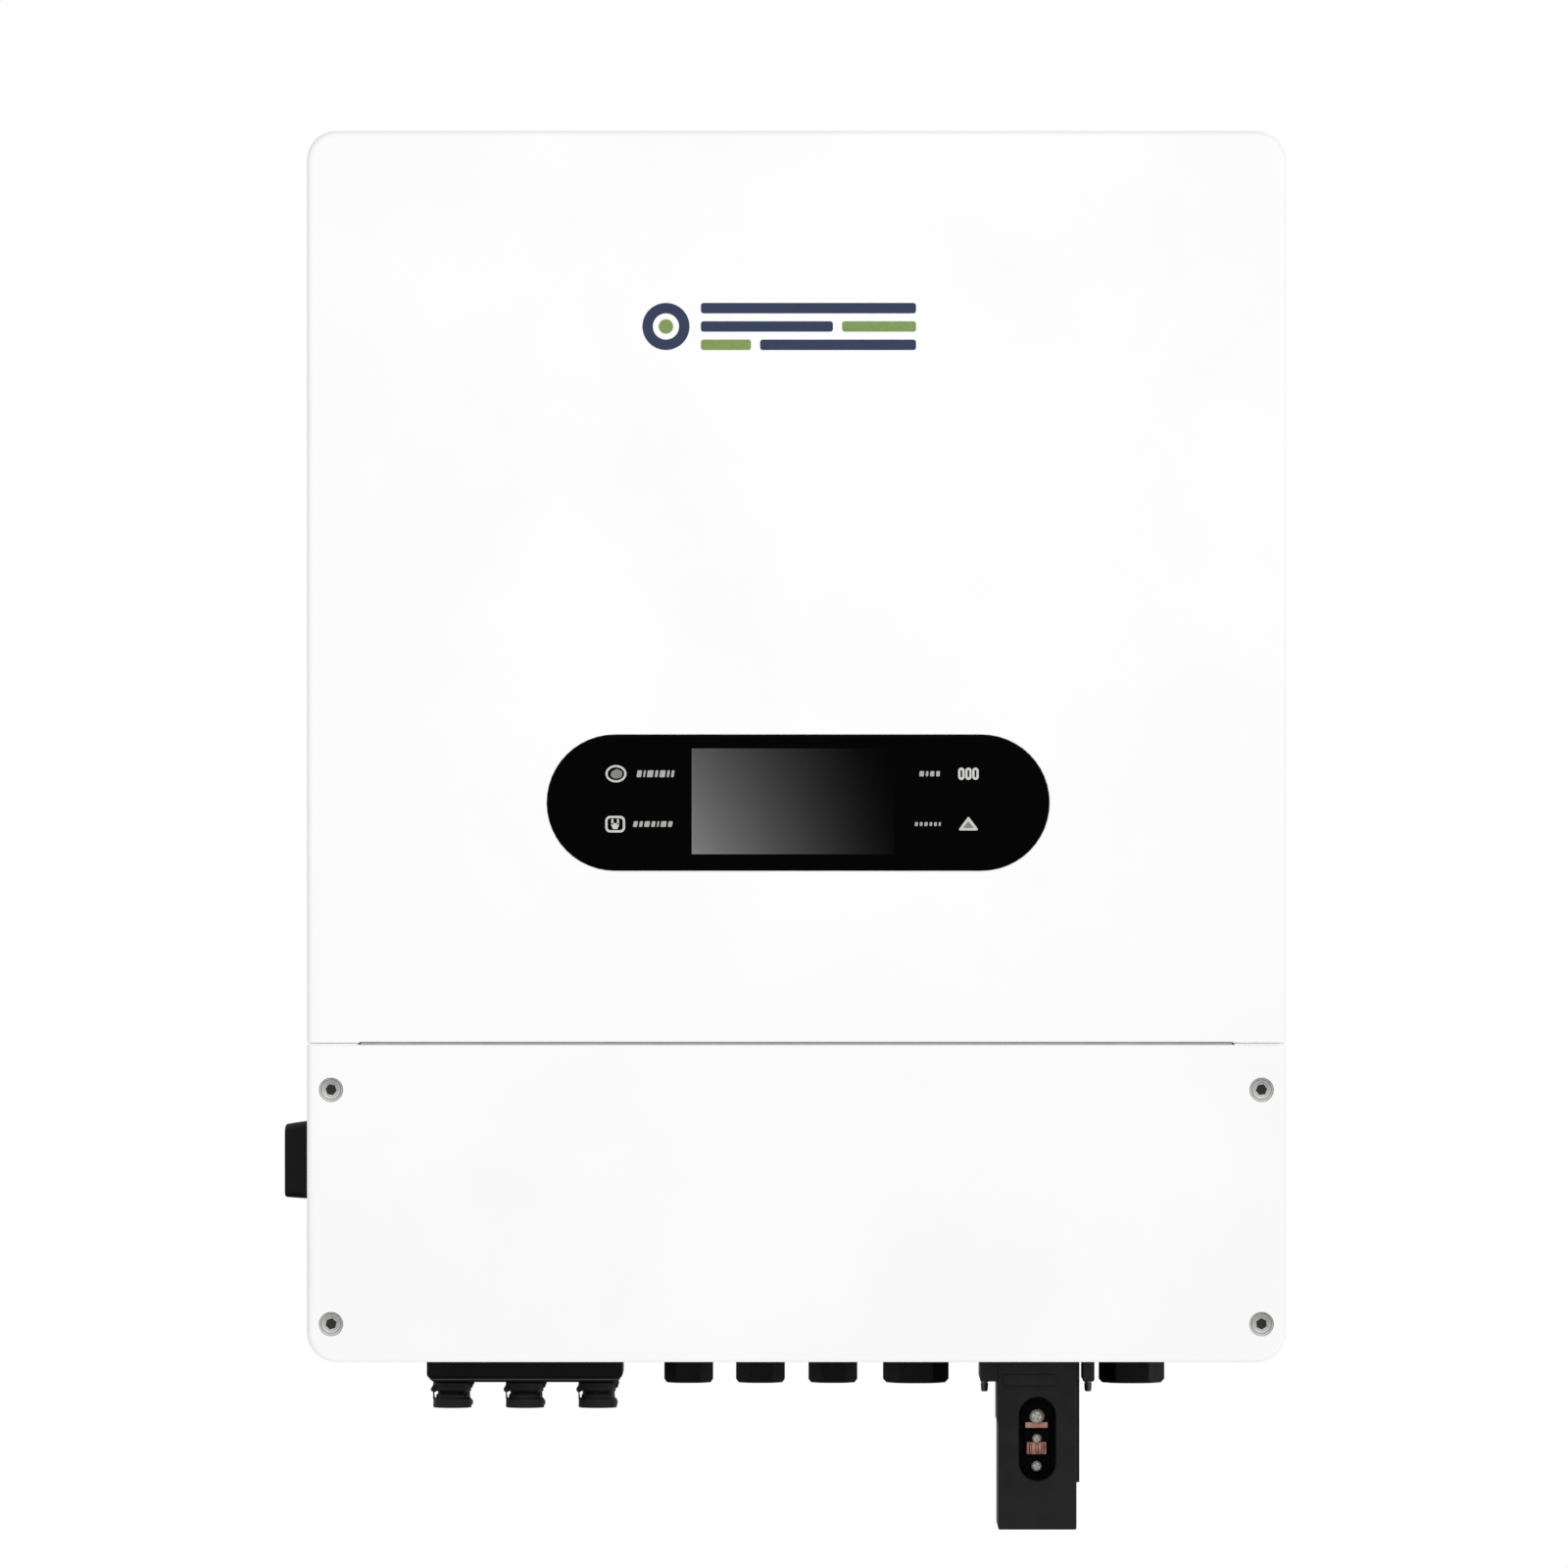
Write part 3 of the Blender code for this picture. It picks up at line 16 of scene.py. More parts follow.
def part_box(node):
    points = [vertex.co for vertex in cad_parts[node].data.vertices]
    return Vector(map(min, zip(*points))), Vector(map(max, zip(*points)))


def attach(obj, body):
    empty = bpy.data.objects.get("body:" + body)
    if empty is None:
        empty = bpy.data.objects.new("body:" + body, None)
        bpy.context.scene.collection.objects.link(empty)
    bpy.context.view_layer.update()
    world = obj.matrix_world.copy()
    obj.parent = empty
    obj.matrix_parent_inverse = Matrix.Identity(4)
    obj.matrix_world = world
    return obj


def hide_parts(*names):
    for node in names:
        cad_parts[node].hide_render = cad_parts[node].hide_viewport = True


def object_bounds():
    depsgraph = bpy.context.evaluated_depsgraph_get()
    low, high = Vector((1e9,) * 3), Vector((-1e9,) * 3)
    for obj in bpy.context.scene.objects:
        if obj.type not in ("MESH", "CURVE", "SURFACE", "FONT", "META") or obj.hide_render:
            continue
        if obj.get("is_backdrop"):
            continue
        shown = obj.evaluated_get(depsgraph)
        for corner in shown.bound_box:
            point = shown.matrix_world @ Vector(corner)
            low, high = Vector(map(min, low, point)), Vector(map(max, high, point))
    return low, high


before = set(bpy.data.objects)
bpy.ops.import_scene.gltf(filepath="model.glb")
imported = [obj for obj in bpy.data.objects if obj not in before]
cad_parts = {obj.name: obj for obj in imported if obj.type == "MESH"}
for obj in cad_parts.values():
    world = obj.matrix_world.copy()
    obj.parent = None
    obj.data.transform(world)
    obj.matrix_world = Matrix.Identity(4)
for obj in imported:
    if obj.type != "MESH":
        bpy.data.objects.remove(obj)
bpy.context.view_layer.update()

MM = 0.001


def box_mm(node):
    """Lowest and highest corner of a CAD node, in millimetres."""
    low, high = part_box(node)
    return low / MM, high / MM


def middle_mm(node):
    """Middle of a CAD node's box, in millimetres."""
    return [(first + second) / 2 for first, second in zip(*box_mm(node))]


COVER_LOW, COVER_HIGH = box_mm("upper_cover")
WIRING_LOW, WIRING_HIGH = box_mm("lower_cover")
CASE_LOW, CASE_HIGH = box_mm("chassis")
FRONT = COVER_LOW.y
GAP = 0.3
RIGHTWARD, LEFTWARD = (1, 0, 0), (-1, 0, 0)
BACKWARD, FORWARD = (0, 1, 0), (0, -1, 0)
UPWARD, DOWNWARD = (0, 0, 1), (0, 0, -1)


def up(height):
    """Z of a height above the covers' lower edge."""
    return WIRING_LOW.z + height


# ---- Outlines: lists of 2D points ----
def arc(centre, radius, start, end, steps):
    """Points on an arc, with both ends; the angles are in degrees."""
    points = []
    for step in range(steps + 1):
        angle = math.radians(start + (end - start) * step / steps)
        points.append((centre[0] + radius * math.cos(angle), centre[1] + radius * math.sin(angle)))
    return points


def rounded_box(left, right, low, high, low_radius, high_radius=None, steps=8):
    """Counter-clockwise outline; the lower and the upper corners can differ."""
    top = low_radius if high_radius is None else high_radius
    points = arc((left + low_radius, low + low_radius), low_radius, 180, 270, steps)
    points += arc((right - low_radius, low + low_radius), low_radius, 270, 360, steps)
    points += arc((right - top, high - top), top, 0, 90, steps)
    return points + arc((left + top, high - top), top, 90, 180, steps)


def stadium(x, z, width, height, steps=24):
    """A slot with round ends, lying along its longer side."""
    radius = min(width, height) / 2
    reach_x, reach_z = width / 2 - radius, height / 2 - radius
    if reach_x >= reach_z:
        return arc((x + reach_x, z), radius, -90, 90, steps) + arc((x - reach_x, z), radius, 90, 270, steps)
    return arc((x, z + reach_z), radius, 0, 180, steps) + arc((x, z - reach_z), radius, 180, 360, steps)


def circle(x, z, radius, steps=32):
    return arc((x, z), radius, 0, 360, steps)[:-1]


def round_path(points, radius, closed=True, steps=4):
    """The same path with every corner turned into an arc, as far as its sides allow."""
    path = []
    for number, corner in enumerate(points):
        if not closed and number in (0, len(points) - 1):
            path.append(corner)
            continue
        here = Vector(corner)
        before = Vector(points[number - 1]) - here
        after = Vector(points[(number + 1) % len(points)]) - here
        half = before.angle(after) / 2
        reach = min(radius / math.tan(half), 0.49 * before.length, 0.49 * after.length)
        bend = reach * math.tan(half)
        centre = here + (before.normalized() + after.normalized()).normalized() * bend / math.sin(half)
        first = here + before.normalized() * reach - centre
        sweep = first.angle_signed(here + after.normalized() * reach - centre)
        for step in range(steps + 1):
            spoke = first.copy()
            spoke.rotate(Matrix.Rotation(-sweep * step / steps, 2))
            path.append(tuple(centre + spoke))
    return path


def neighbours(points, number):
    """The points before and after one of a path, or the point itself at an end."""
    return points[max(number - 1, 0)], points[min(number + 1, len(points) - 1)]


def bent_sheet(path, thickness, radius):
    """Outline of a sheet that follows a path; its bends have that inner radius."""
    middle = [Vector(point) for point in round_path(path, radius + thickness / 2, closed=False, steps=6)]
    sides = [[], []]
    for number, point in enumerate(middle):
        before, after = neighbours(middle, number)
        run = after - before
        normal = Vector((-run.y, run.x)).normalized() * thickness / 2
        sides[0].append(tuple(point + normal))
        sides[1].append(tuple(point - normal))
    return sides[0] + sides[1][::-1]


# ---- Mesh building ----
def on_front(u, v, depth):
    return (u, depth, v)


def on_side(u, v, depth):
    return (depth, u, v)


def on_top(u, v, depth):
    return (u, v, depth)


def lifted(outline, depth, place=on_front):
    """An outline as 3D points at a depth."""
    return [place(u, v, depth) for u, v in outline]


def aim(origin, direction=UPWARD):
    """Turns +Z to a direction and moves to an origin."""
    turn = Vector(direction).to_track_quat("Z", "Y").to_matrix().to_4x4()
    return Matrix.Translation(origin) @ turn


def on_place(place):
    """What on_front() is, for a place that aim() made: the depth is a height above it."""
    return lambda u, v, depth: place @ Vector((u, v, depth))


def aimed(place, outline, height):
    """An outline as 3D points at a height of a place that aim() made."""
    return lifted(outline, height, on_place(place))


def ring(mesh, points):
    return [mesh.verts.new(point) for point in points]


def bridge(mesh, first, second):
    """Faces between two rings of as many points, or between a ring and one point."""
    if len(first) == 1:
        first, second = second, first
    for number, vert in enumerate(first):
        following = (number + 1) % len(first)
        far = second[:1] if len(second) == 1 else (second[following], second[number])
        mesh.faces.new((vert, first[following], *far))


def fill(mesh, rings):
    """A flat face inside the first ring and outside the others."""
    if len(rings) == 1:
        mesh.faces.new(rings[0])
        return
    edges = []
    for points in rings:
        for number, vert in enumerate(points):
            pair = (points[number - 1], vert)
            edges.append(mesh.edges.get(pair) or mesh.edges.new(pair))
    bmesh.ops.triangle_fill(mesh, use_beauty=True, edges=edges)


def skin(mesh, sections):
    """Rings of 3D points, each joined to the next. Returns the rings."""
    rings = [ring(mesh, section) for section in sections]
    for first, second in zip(rings, rings[1:]):
        bridge(mesh, first, second)
    return rings


def loft(mesh, sections):
    """A closed skin: its first and last sections are filled."""
    rings = skin(mesh, sections)
    fill(mesh, rings[:1])
    fill(mesh, rings[-1:])
    return mesh


def slab(mesh, loops, low, high, place=on_front):
    """Outlines, the inner ones being holes, extruded between two depths."""
    ends = []
    for depth in (low, high):
        rings = [ring(mesh, lifted(loop, depth, place)) for loop in loops]
        fill(mesh, rings)
        ends.append(rings)
    for first, second in zip(*ends):
        bridge(mesh, first, second)
    return mesh


def brick(mesh, low, high, radius=0.0, segments=2, place=Matrix()):
    """A box with all its edges rounded."""
    low, high = Vector(low), Vector(high)
    matrix = place @ Matrix.Translation((low + high) / 2) @ Matrix.Diagonal((*(high - low), 1))
    made = bmesh.ops.create_cube(mesh, size=1, matrix=matrix)
    if radius:
        edges = list({edge for vert in made["verts"] for edge in vert.link_edges})
        bmesh.ops.bevel(mesh, geom=edges, offset=radius, segments=segments, profile=0.5, affect="EDGES")
    return mesh


def lathe(mesh, profile, place=Matrix(), steps=40, closed=False):
    """Turns (radius, height) points about +Z. A radius of zero is a pole."""
    sections = []
    for radius, height in profile:
        outline = circle(0, 0, radius, steps) if radius else [(0, 0)]
        sections.append(aimed(place, outline, height))
    rings = skin(mesh, sections)
    if closed:
        bridge(mesh, rings[-1], rings[0])
    return mesh


def rod(mesh, place, radius, low, high, steps=28):
    """A closed cylinder between two heights of its place."""
    return lathe(mesh, [(0, low), (radius, low), (radius, high), (0, high)], place, steps)


def hole_rod(mesh, place, radius, length, steps=28):
    """A closed cylinder to cut with, centred on its place."""
    return rod(mesh, place, radius, -length / 2, length / 2, steps)


def tube(mesh, points, radius, sides=12, bend=6.0):
    """A round cable along a 3D path with soft bends and closed ends."""
    corners = [Vector(point) for point in points]
    path = corners[:1]
    for before, here, after in zip(corners, corners[1:], corners[2:]):
        reach = min(bend, 0.45 * (here - before).length, 0.45 * (after - here).length)
        start = here + (before - here).normalized() * reach
        end = here + (after - here).normalized() * reach
        for step in range(7):
            t = step / 6
            path.append((1 - t) ** 2 * start + 2 * t * (1 - t) * here + t**2 * end)
    path.append(corners[-1])
    sections = []
    side = None
    for number, point in enumerate(path):
        before, after = neighbours(path, number)
        run = (after - before).normalized()
        side = side or run.orthogonal().normalized()
        side = (side - run * side.dot(run)).normalized()
        other = run.cross(side)
        sections.append([point + side * x + other * z for x, z in circle(0, 0, radius, sides)])
    return loft(mesh, sections)


def hexagon(radius, steps_per_side=1):
    """A hexagon with extra points along its sides, in step with a circle's points."""
    corners = [Vector(point) for point in circle(0, 0, radius, 6)]
    points = []
    for corner, following in zip(corners, corners[1:] + corners[:1]):
        points += [corner.lerp(following, step / steps_per_side) for step in range(steps_per_side)]
    return points


def carve(mesh, tool, operation="DIFFERENCE"):
    """Boolean of two closed meshes without inner voids. Both are used up; returns a new mesh."""
    helpers = []
    for shape in (mesh, tool):
        bmesh.ops.recalc_face_normals(shape, faces=shape.faces[:])
        helpers.append(add_object("helper", shape))
    modifier = helpers[0].modifiers.new("carve", "BOOLEAN")
    modifier.operation = operation
    modifier.object = helpers[1]
    bpy.context.view_layer.update()
    result = bmesh.new()
    result.from_object(helpers[0], bpy.context.evaluated_depsgraph_get())
    for helper in helpers:
        bpy.data.objects.remove(helper)
    return result


def add_object(name, mesh):
    """Turns a mesh that was being built into an object. The mesh is used up."""
    data = bpy.data.meshes.new(name)
    mesh.to_mesh(data)
    mesh.free()
    obj = bpy.data.objects.new(name, data)
    bpy.context.scene.collection.objects.link(obj)
    return obj


# ---- Materials ----
def add_node(tree, kind, output, inputs, **settings):
    """Adds a shader node; an input is a value or another node's socket."""
    node = tree.nodes.new("ShaderNode" + kind)
    for name, value in settings.items():
        setattr(node, name, value)
    for key, value in inputs.items():
        if isinstance(value, bpy.types.NodeSocket):
            tree.links.new(value, node.inputs[key])
        else:
            node.inputs[key].default_value = value
    return node.outputs[output]


def shade(color, share):
    return tuple(share * part for part in color)


class Shader:
    """A Principled material, and short ways to add texture nodes to it."""

    def __init__(self, name, color, roughness, metallic=0.0, specular=0.5):
        self.material = bpy.data.materials.new(name)
        self.material.use_nodes = True
        self.base = self.material.node_tree.nodes["Principled BSDF"]
        self.set("Base Color", (*color, 1.0))
        self.set("Roughness", roughness)
        self.set("Metallic", metallic)
        self.set("Specular IOR Level", specular)
        self.place = self.add("TexCoord", "Object", {})

    def add(self, kind, output, inputs, **settings):
        return add_node(self.material.node_tree, kind, output, inputs, **settings)

    def set(self, name, value):
        if isinstance(value, bpy.types.NodeSocket):
            self.material.node_tree.links.new(value, self.base.inputs[name])
        else:
            self.base.inputs[name].default_value = value

    def noise(self, size, detail=3.0, along=None):
        """Noise with blobs of about this size in millimetres."""
        vector = self.place
        if along:
            vector = self.add("Mapping", "Vector", {"Vector": vector, "Scale": along})
        return self.add("TexNoise", "Fac", {"Scale": 1 / (size * MM), "Detail": detail, "Vector": vector})

    def cells(self, size):
        return self.add("TexVoronoi", "Distance", {"Scale": 1 / (size * MM), "Vector": self.place})

    def span(self, value, low, high, start=0.3, end=0.7):
        """Maps start..end of a value to low..high."""
        limits = {"From Min": start, "From Max": end, "To Min": low, "To Max": high}
        return self.add("MapRange", "Result", {"Value": value, **limits})

    def math(self, operation, *values):
        return self.add("Math", "Value", dict(enumerate(values)), operation=operation)

    def axis(self, name):
        return self.add("SeparateXYZ", name, {"Vector": self.place})

    def mix(self, factor, first, second):
        colors = [c if isinstance(c, bpy.types.NodeSocket) else (*c, 1.0) for c in (first, second)]
        return self.add("Mix", 2, {"Factor": factor, 6: colors[0], 7: colors[1]}, data_type="RGBA")

    def blotches(self, size, detail, first, second):
        """Varies the base colour in soft blotches of this size."""
        self.set("Base Color", self.mix(self.span(self.noise(size, detail), 0, 1), first, second))

    def bump(self, height, distance, strength=1.0):
        """Raises the surface by up to this distance in millimetres."""
        inputs = {"Distance": distance * MM, "Strength": strength, "Height": height}
        previous = self.base.inputs["Normal"]
        if previous.is_linked:
            inputs["Normal"] = previous.links[0].from_socket
        self.set("Normal", self.add("Bump", "Normal", inputs))


def powder_coat(name):
    """White powder coat: orange peel of about a millimetre and a fine grain."""
    s = Shader(name, (0.93, 0.93, 0.925), 0.42, specular=0.2)
    s.blotches(90, 3, (0.915, 0.915, 0.912), (0.94, 0.94, 0.938))
    s.set("Roughness", s.span(s.noise(1.2, 2), 0.36, 0.5))
    s.bump(s.noise(1.6, 2), 0.05, 0.35)
    s.bump(s.noise(0.35, 1), 0.01, 0.5)
    return s.material


def moulded_black(name, level):
    """Black glass-filled nylon with a spark-eroded grain and faint handling marks."""
    s = Shader(name, (0.0, 0.0, 0.0), 0.5, specular=0.27 * level)
    s.blotches(14, 3, shade((0.0085, 0.0076, 0.0078), level), shade((0.0138, 0.0124, 0.0128), level))
    scuffs = s.span(s.noise(5, 6, (1, 1, 0.25)), 0, 0.12, 0.52, 0.75)
    s.set("Roughness", s.math("SUBTRACT", s.span(s.noise(0.5, 2), 0.46, 0.62), scuffs))
    s.bump(s.noise(0.3, 2), 0.03, 0.5)
    return s.material


def knob_black(name):
    s = Shader(name, (0.005, 0.005, 0.005), 0.42, specular=0.2)
    s.set("Roughness", s.span(s.noise(3, 4), 0.36, 0.5))
    s.bump(s.noise(0.25, 2), 0.02, 0.4)
    return s.material


def display_glass(name):
    """The black window. Behind it the screen has painted light: lighter towards its lower left corner, with
    painted highlights along its left and lower edges.
    """
    low, high = box_mm("lcd_module")
    left, right = (low.x + 3.6) * MM, (high.x - 3.7) * MM
    bottom, top = (low.z + 3.4) * MM, (high.z - 2.2) * MM
    rim_start, rim_end = 0.3 * MM, 0.7 * MM
    black = (0.0008, 0.0008, 0.0008)
    s = Shader(name, black, 0.06, specular=0.03)
    x, z = s.axis("X"), s.axis("Z")
    # Painted light: the screen's grey falls off to the right and upwards, and painted highlights line its
    # left and lower edges.
    across = s.math("MULTIPLY", s.span(x, 1, 0.13, left, right), s.span(z, 0.465, 0.37, bottom, top))
    painted_light = s.math("ADD", across, s.span(z, 0, -0.04, bottom, top))
    painted_edge_highlights = [s.span(value, 0.06, 0, edge + rim_start, edge + rim_end)
            for value, edge in ((x, left), (z, bottom))]
    grey = s.math("POWER", s.math("MULTIPLY", painted_light, s.math("ADD", s.math("MAXIMUM", *painted_edge_highlights), 1.0)), 2.2)
    limits = (
        ("GREATER_THAN", x, left), ("LESS_THAN", x, right),
        ("GREATER_THAN", z, bottom), ("LESS_THAN", z, top))
    inside = s.math(*limits[0])
    for limit in limits[1:]:
        inside = s.math("MULTIPLY", inside, s.math(*limit))
    s.set("Base Color", s.mix(s.math("MULTIPLY", grey, inside), black, (1.0, 1.0, 1.0)))
    s.set("Roughness", s.span(s.noise(30, 4), 0.05, 0.08))
    return s.material


def ink(name, color, roughness=0.45):
    """Screen-printed ink, slightly uneven."""
    s = Shader(name, color, roughness)
    s.blotches(1.5, 3, shade(color, 0.85), color)
    s.bump(s.noise(0.4, 2), 0.01, 0.5)
    return s.material


def bare_metal(name, color, roughness, metallic=1.0, size=1.0, depth=0.01, streaks=(1, 1, 1)):
    """Metal whose polish varies in streaks or blotches."""
    s = Shader(name, color, roughness, metallic=metallic)
    grain = s.noise(size, 4, streaks)
    s.set("Roughness", s.span(grain, roughness * 0.75, roughness * 1.35))
    s.blotches(6, 4, shade(color, 0.86), color)
    s.bump(grain, depth, 0.6)
    return s.material


def zinc_plate(name):
    """Galvanised sheet with soft crystals."""
    s = Shader(name, (0.6, 0.61, 0.63), 0.4, metallic=1.0)
    s.set("Base Color", s.mix(s.span(s.cells(7), 0, 1, 0, 0.9), (0.5, 0.51, 0.53), (0.68, 0.69, 0.71)))
    s.set("Roughness", s.span(s.noise(2.5, 5), 0.3, 0.5))
    s.bump(s.noise(0.8, 3), 0.01, 0.5)
    return s.material


def copper_bar(name):
    """Bare copper with darker, duller blotches of oxide."""
    s = Shader(name, (0.75, 0.36, 0.24), 0.32, metallic=1.0)
    oxide = s.span(s.noise(4, 5), 0, 1, 0.42, 0.72)
    s.set("Base Color", s.mix(oxide, (0.86, 0.46, 0.34), (0.42, 0.17, 0.12)))
    s.set("Roughness", s.span(s.noise(2, 4), 0.25, 0.5))
    s.bump(s.noise(0.5, 3, (1, 1, 0.1)), 0.01, 0.6)
    return s.material


def soft_black(name, color, size, depth):
    """Rubber or foam: matt, with a grain of this size."""
    s = Shader(name, color, 0.8, specular=0.3)
    s.blotches(4, 3, shade(color, 0.7), color)
    s.bump(s.cells(size), depth, 0.7)
    return s.material


def circuit_board(name):
    """Green solder mask over thin tracks, with tinned pads."""
    s = Shader(name, (0.015, 0.12, 0.05), 0.35)
    turned = s.add("Mapping", "Vector", {"Vector": s.place, "Rotation": (math.pi / 2, 0, 0)})
    inputs = {"Vector": turned, "Scale": 1 / (9 * MM), "Mortar Size": 0.035, "Mortar": (1, 1, 1, 1)}
    inputs.update({"Color1": (0, 0, 0, 1), "Color2": (0.12, 0.12, 0.12, 1)})
    tracks = s.add("TexBrick", "Color", inputs)
    mask = s.mix(tracks, (0.008, 0.085, 0.035), (0.03, 0.2, 0.08))
    pads = s.span(s.cells(6), 1, 0, 0.1, 0.12)
    s.set("Base Color", s.mix(pads, mask, (0.7, 0.7, 0.68)))
    s.set("Metallic", pads)
    s.bump(tracks, 0.03, 0.5)
    return s.material


def plastic(name, color, roughness=0.4, specular=0.5):
    """Smooth moulded plastic with a faint flow pattern."""
    s = Shader(name, color, roughness, specular=specular)
    s.blotches(9, 3, shade(color, 0.88), color)
    s.set("Roughness", s.span(s.noise(1.5, 3), roughness * 0.85, roughness * 1.2))
    s.bump(s.noise(0.5, 2), 0.01, 0.4)
    return s.material


# (material slot, maker, name, the maker's other arguments)
FINISHES = (
    ("white_paint", powder_coat, "powder_coat"),
    ("black_plastic", moulded_black, "moulded_black", 1.0),
    ("black_plastic", moulded_black, "moulded_dark", 0.45),
    # Near-black, darker than the other black plastics: the terminal carrier's own black plus painted shade of
    # the box's inside.
    ("black_plastic", plastic, "matt_black", (0.002, 0.002, 0.002), 0.7, 0.08),
    ("black_plastic", knob_black, "knob_black"),
    ("gloss_black", display_glass, "display_glass"),
    ("screen_glass", plastic, "screen", (0.03, 0.03, 0.035), 0.2),
    ("gloss_black", ink, "print_white", (0.62, 0.62, 0.6)),
    ("gloss_black", ink, "print_light", (0.42, 0.42, 0.4)),
    ("gloss_black", ink, "print_grey", (0.22, 0.23, 0.22)),
    ("white_paint", ink, "badge_navy", (0.022, 0.038, 0.1), 0.35),
    ("white_paint", ink, "badge_green", (0.22, 0.33, 0.09), 0.35),
    ("stainless", bare_metal, "stainless", (0.66, 0.65, 0.63), 0.28, 1.0, 0.5),
    ("stainless", bare_metal, "satin_steel", (0.86, 0.85, 0.83), 0.5, 0.8, 0.4),
    ("stainless", bare_metal, "bright_screw", (0.85, 0.82, 0.76), 0.3, 0.45, 0.5),
    ("stainless", bare_metal, "dark_steel", (0.12, 0.12, 0.12), 0.25, 0.7, 0.5),
    ("zinc_steel", zinc_plate, "zinc_plate"),
    ("aluminium", bare_metal, "extruded", (0.8, 0.81, 0.82), 0.42, 1.0, 0.7, 0.02, (1, 1, 0.01)),
    ("aluminium", bare_metal, "cast_can", (0.68, 0.69, 0.7), 0.5, 1.0, 1.5, 0.05),
    ("copper", copper_bar, "copper_bar"),
    ("aluminium", bare_metal, "winding", (0.62, 0.25, 0.1), 0.3, 1.0, 2.0),
    ("brass", bare_metal, "brass", (0.78, 0.6, 0.3), 0.3, 1.0, 0.8, 0.004),
    # A grey bead that is painted shade in the cover seam's shadow gap.
    ("black_rubber", plastic, "grey_bead", (0.4, 0.4, 0.41), 0.6),
    ("black_rubber", soft_black, "rubber", (0.016, 0.016, 0.016), 0.8, 0.05),
    ("grey_foam", soft_black, "foam", (0.1, 0.1, 0.105), 1.2, 0.3),
    ("board_green", circuit_board, "circuit_board"),
    ("capacitor_sleeve", plastic, "sleeve", (0.02, 0.035, 0.1), 0.3),
    ("board_green", plastic, "chip", (0.02, 0.02, 0.022), 0.45),
    ("board_green", bare_metal, "jack", (0.72, 0.72, 0.7), 0.3),
    ("board_green", plastic, "film", (0.75, 0.5, 0.06), 0.35),
    ("black_plastic", plastic, "relay_case", (0.05, 0.052, 0.056), 0.35),
    ("terminal_grey", plastic, "terminal", (0.38, 0.39, 0.4), 0.45),
    ("black_plastic", plastic, "wire_red", (0.5, 0.02, 0.015)),
    ("black_plastic", plastic, "wire_black", (0.02, 0.02, 0.02)),
    ("black_plastic", plastic, "wire_blue", (0.03, 0.11, 0.4)),
    ("black_plastic", plastic, "wire_green", (0.14, 0.36, 0.03)),
)
FINISH = {name: (maker(name, *details), slot) for slot, maker, name, *details in FINISHES}


def smooth(obj, angle):
    """Smooth shading, with edges kept sharp from an angle in degrees."""
    obj.data.shade_smooth()
    obj.data.set_sharp_from_angle(angle=math.radians(angle))


def keep_flat(obj):
    """Leaves flat faces flat where they meet rounded edges."""
    obj.modifiers.new("flat_faces_stay_flat", "WEIGHTED_NORMAL").keep_sharp = True


def piece(name, mesh, finish, body, *replaced, sharp=32):
    """Turns a mesh into a shaded object that rides on a body."""
    bmesh.ops.recalc_face_normals(mesh, faces=mesh.faces[:])
    obj = add_object(name, mesh)
    obj.data.transform(Matrix.Scale(MM, 4))
    smooth(obj, sharp)
    material, slot = FINISH[finish]
    obj.data.materials.append(material)
    keep_flat(obj)
    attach(obj, body)
    if replaced:
        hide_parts(*replaced)


def dress(node, finish, edge=0.0, raised=None, face=None):
    """Keeps a CAD node, with a finish and its edges broken by a small bevel.

    Faces in front of the plane y = face can take a second finish."""
    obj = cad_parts[node]
    obj.data.materials.clear()
    obj.data.materials.append(FINISH[finish][0])
    if raised:
        obj.data.materials.append(FINISH[raised][0])
        for polygon in obj.data.polygons:
            if (obj.matrix_world @ polygon.center).y / MM < face - GAP:
                polygon.material_index = 1
    smooth(obj, 32)
    if edge:
        bevel = obj.modifiers.new("broken_edges", "BEVEL")
        bevel.width = edge * MM
        bevel.segments = 2
        bevel.limit_method = "ANGLE"
        bevel.angle_limit = math.radians(40)
    keep_flat(obj)


# ---- Covers ----
COVER_WALL = 2.5
COVER_CORNER = 13.0
COVER_EDGE = 2.6
SEAM_EDGE = 0.7
SEAM_CORNER = 1.0
EDGE_STEPS = 8
SHADOW_GAP = 0.4
SHADOW_HALF = 192.0
SEAM_RETURN = 7.5
SCREW_RECESS = 5.5


def cover_outline(low, high, inset, seam_inset, rounded_side):
    """A cover's outline pulled in from its box: round corners away from the seam."""
    corner = max(COVER_CORNER - inset, 0.6)
    left, right = low.x + inset, high.x - inset
    if rounded_side < 0:
        return rounded_box(left, right, low.z + inset, high.z - seam_inset, corner, SEAM_CORNER)
    base = low.z + seam_inset
    points = rounded_box(left, right, base, high.z - inset, SEAM_CORNER, corner)
    notch = [(-SHADOW_HALF, base), (-SHADOW_HALF + 0.4, base + SHADOW_GAP)]
    notch += [(SHADOW_HALF - 0.4, base + SHADOW_GAP), (SHADOW_HALF, base)]
    return points[:9] + notch + points[9:]


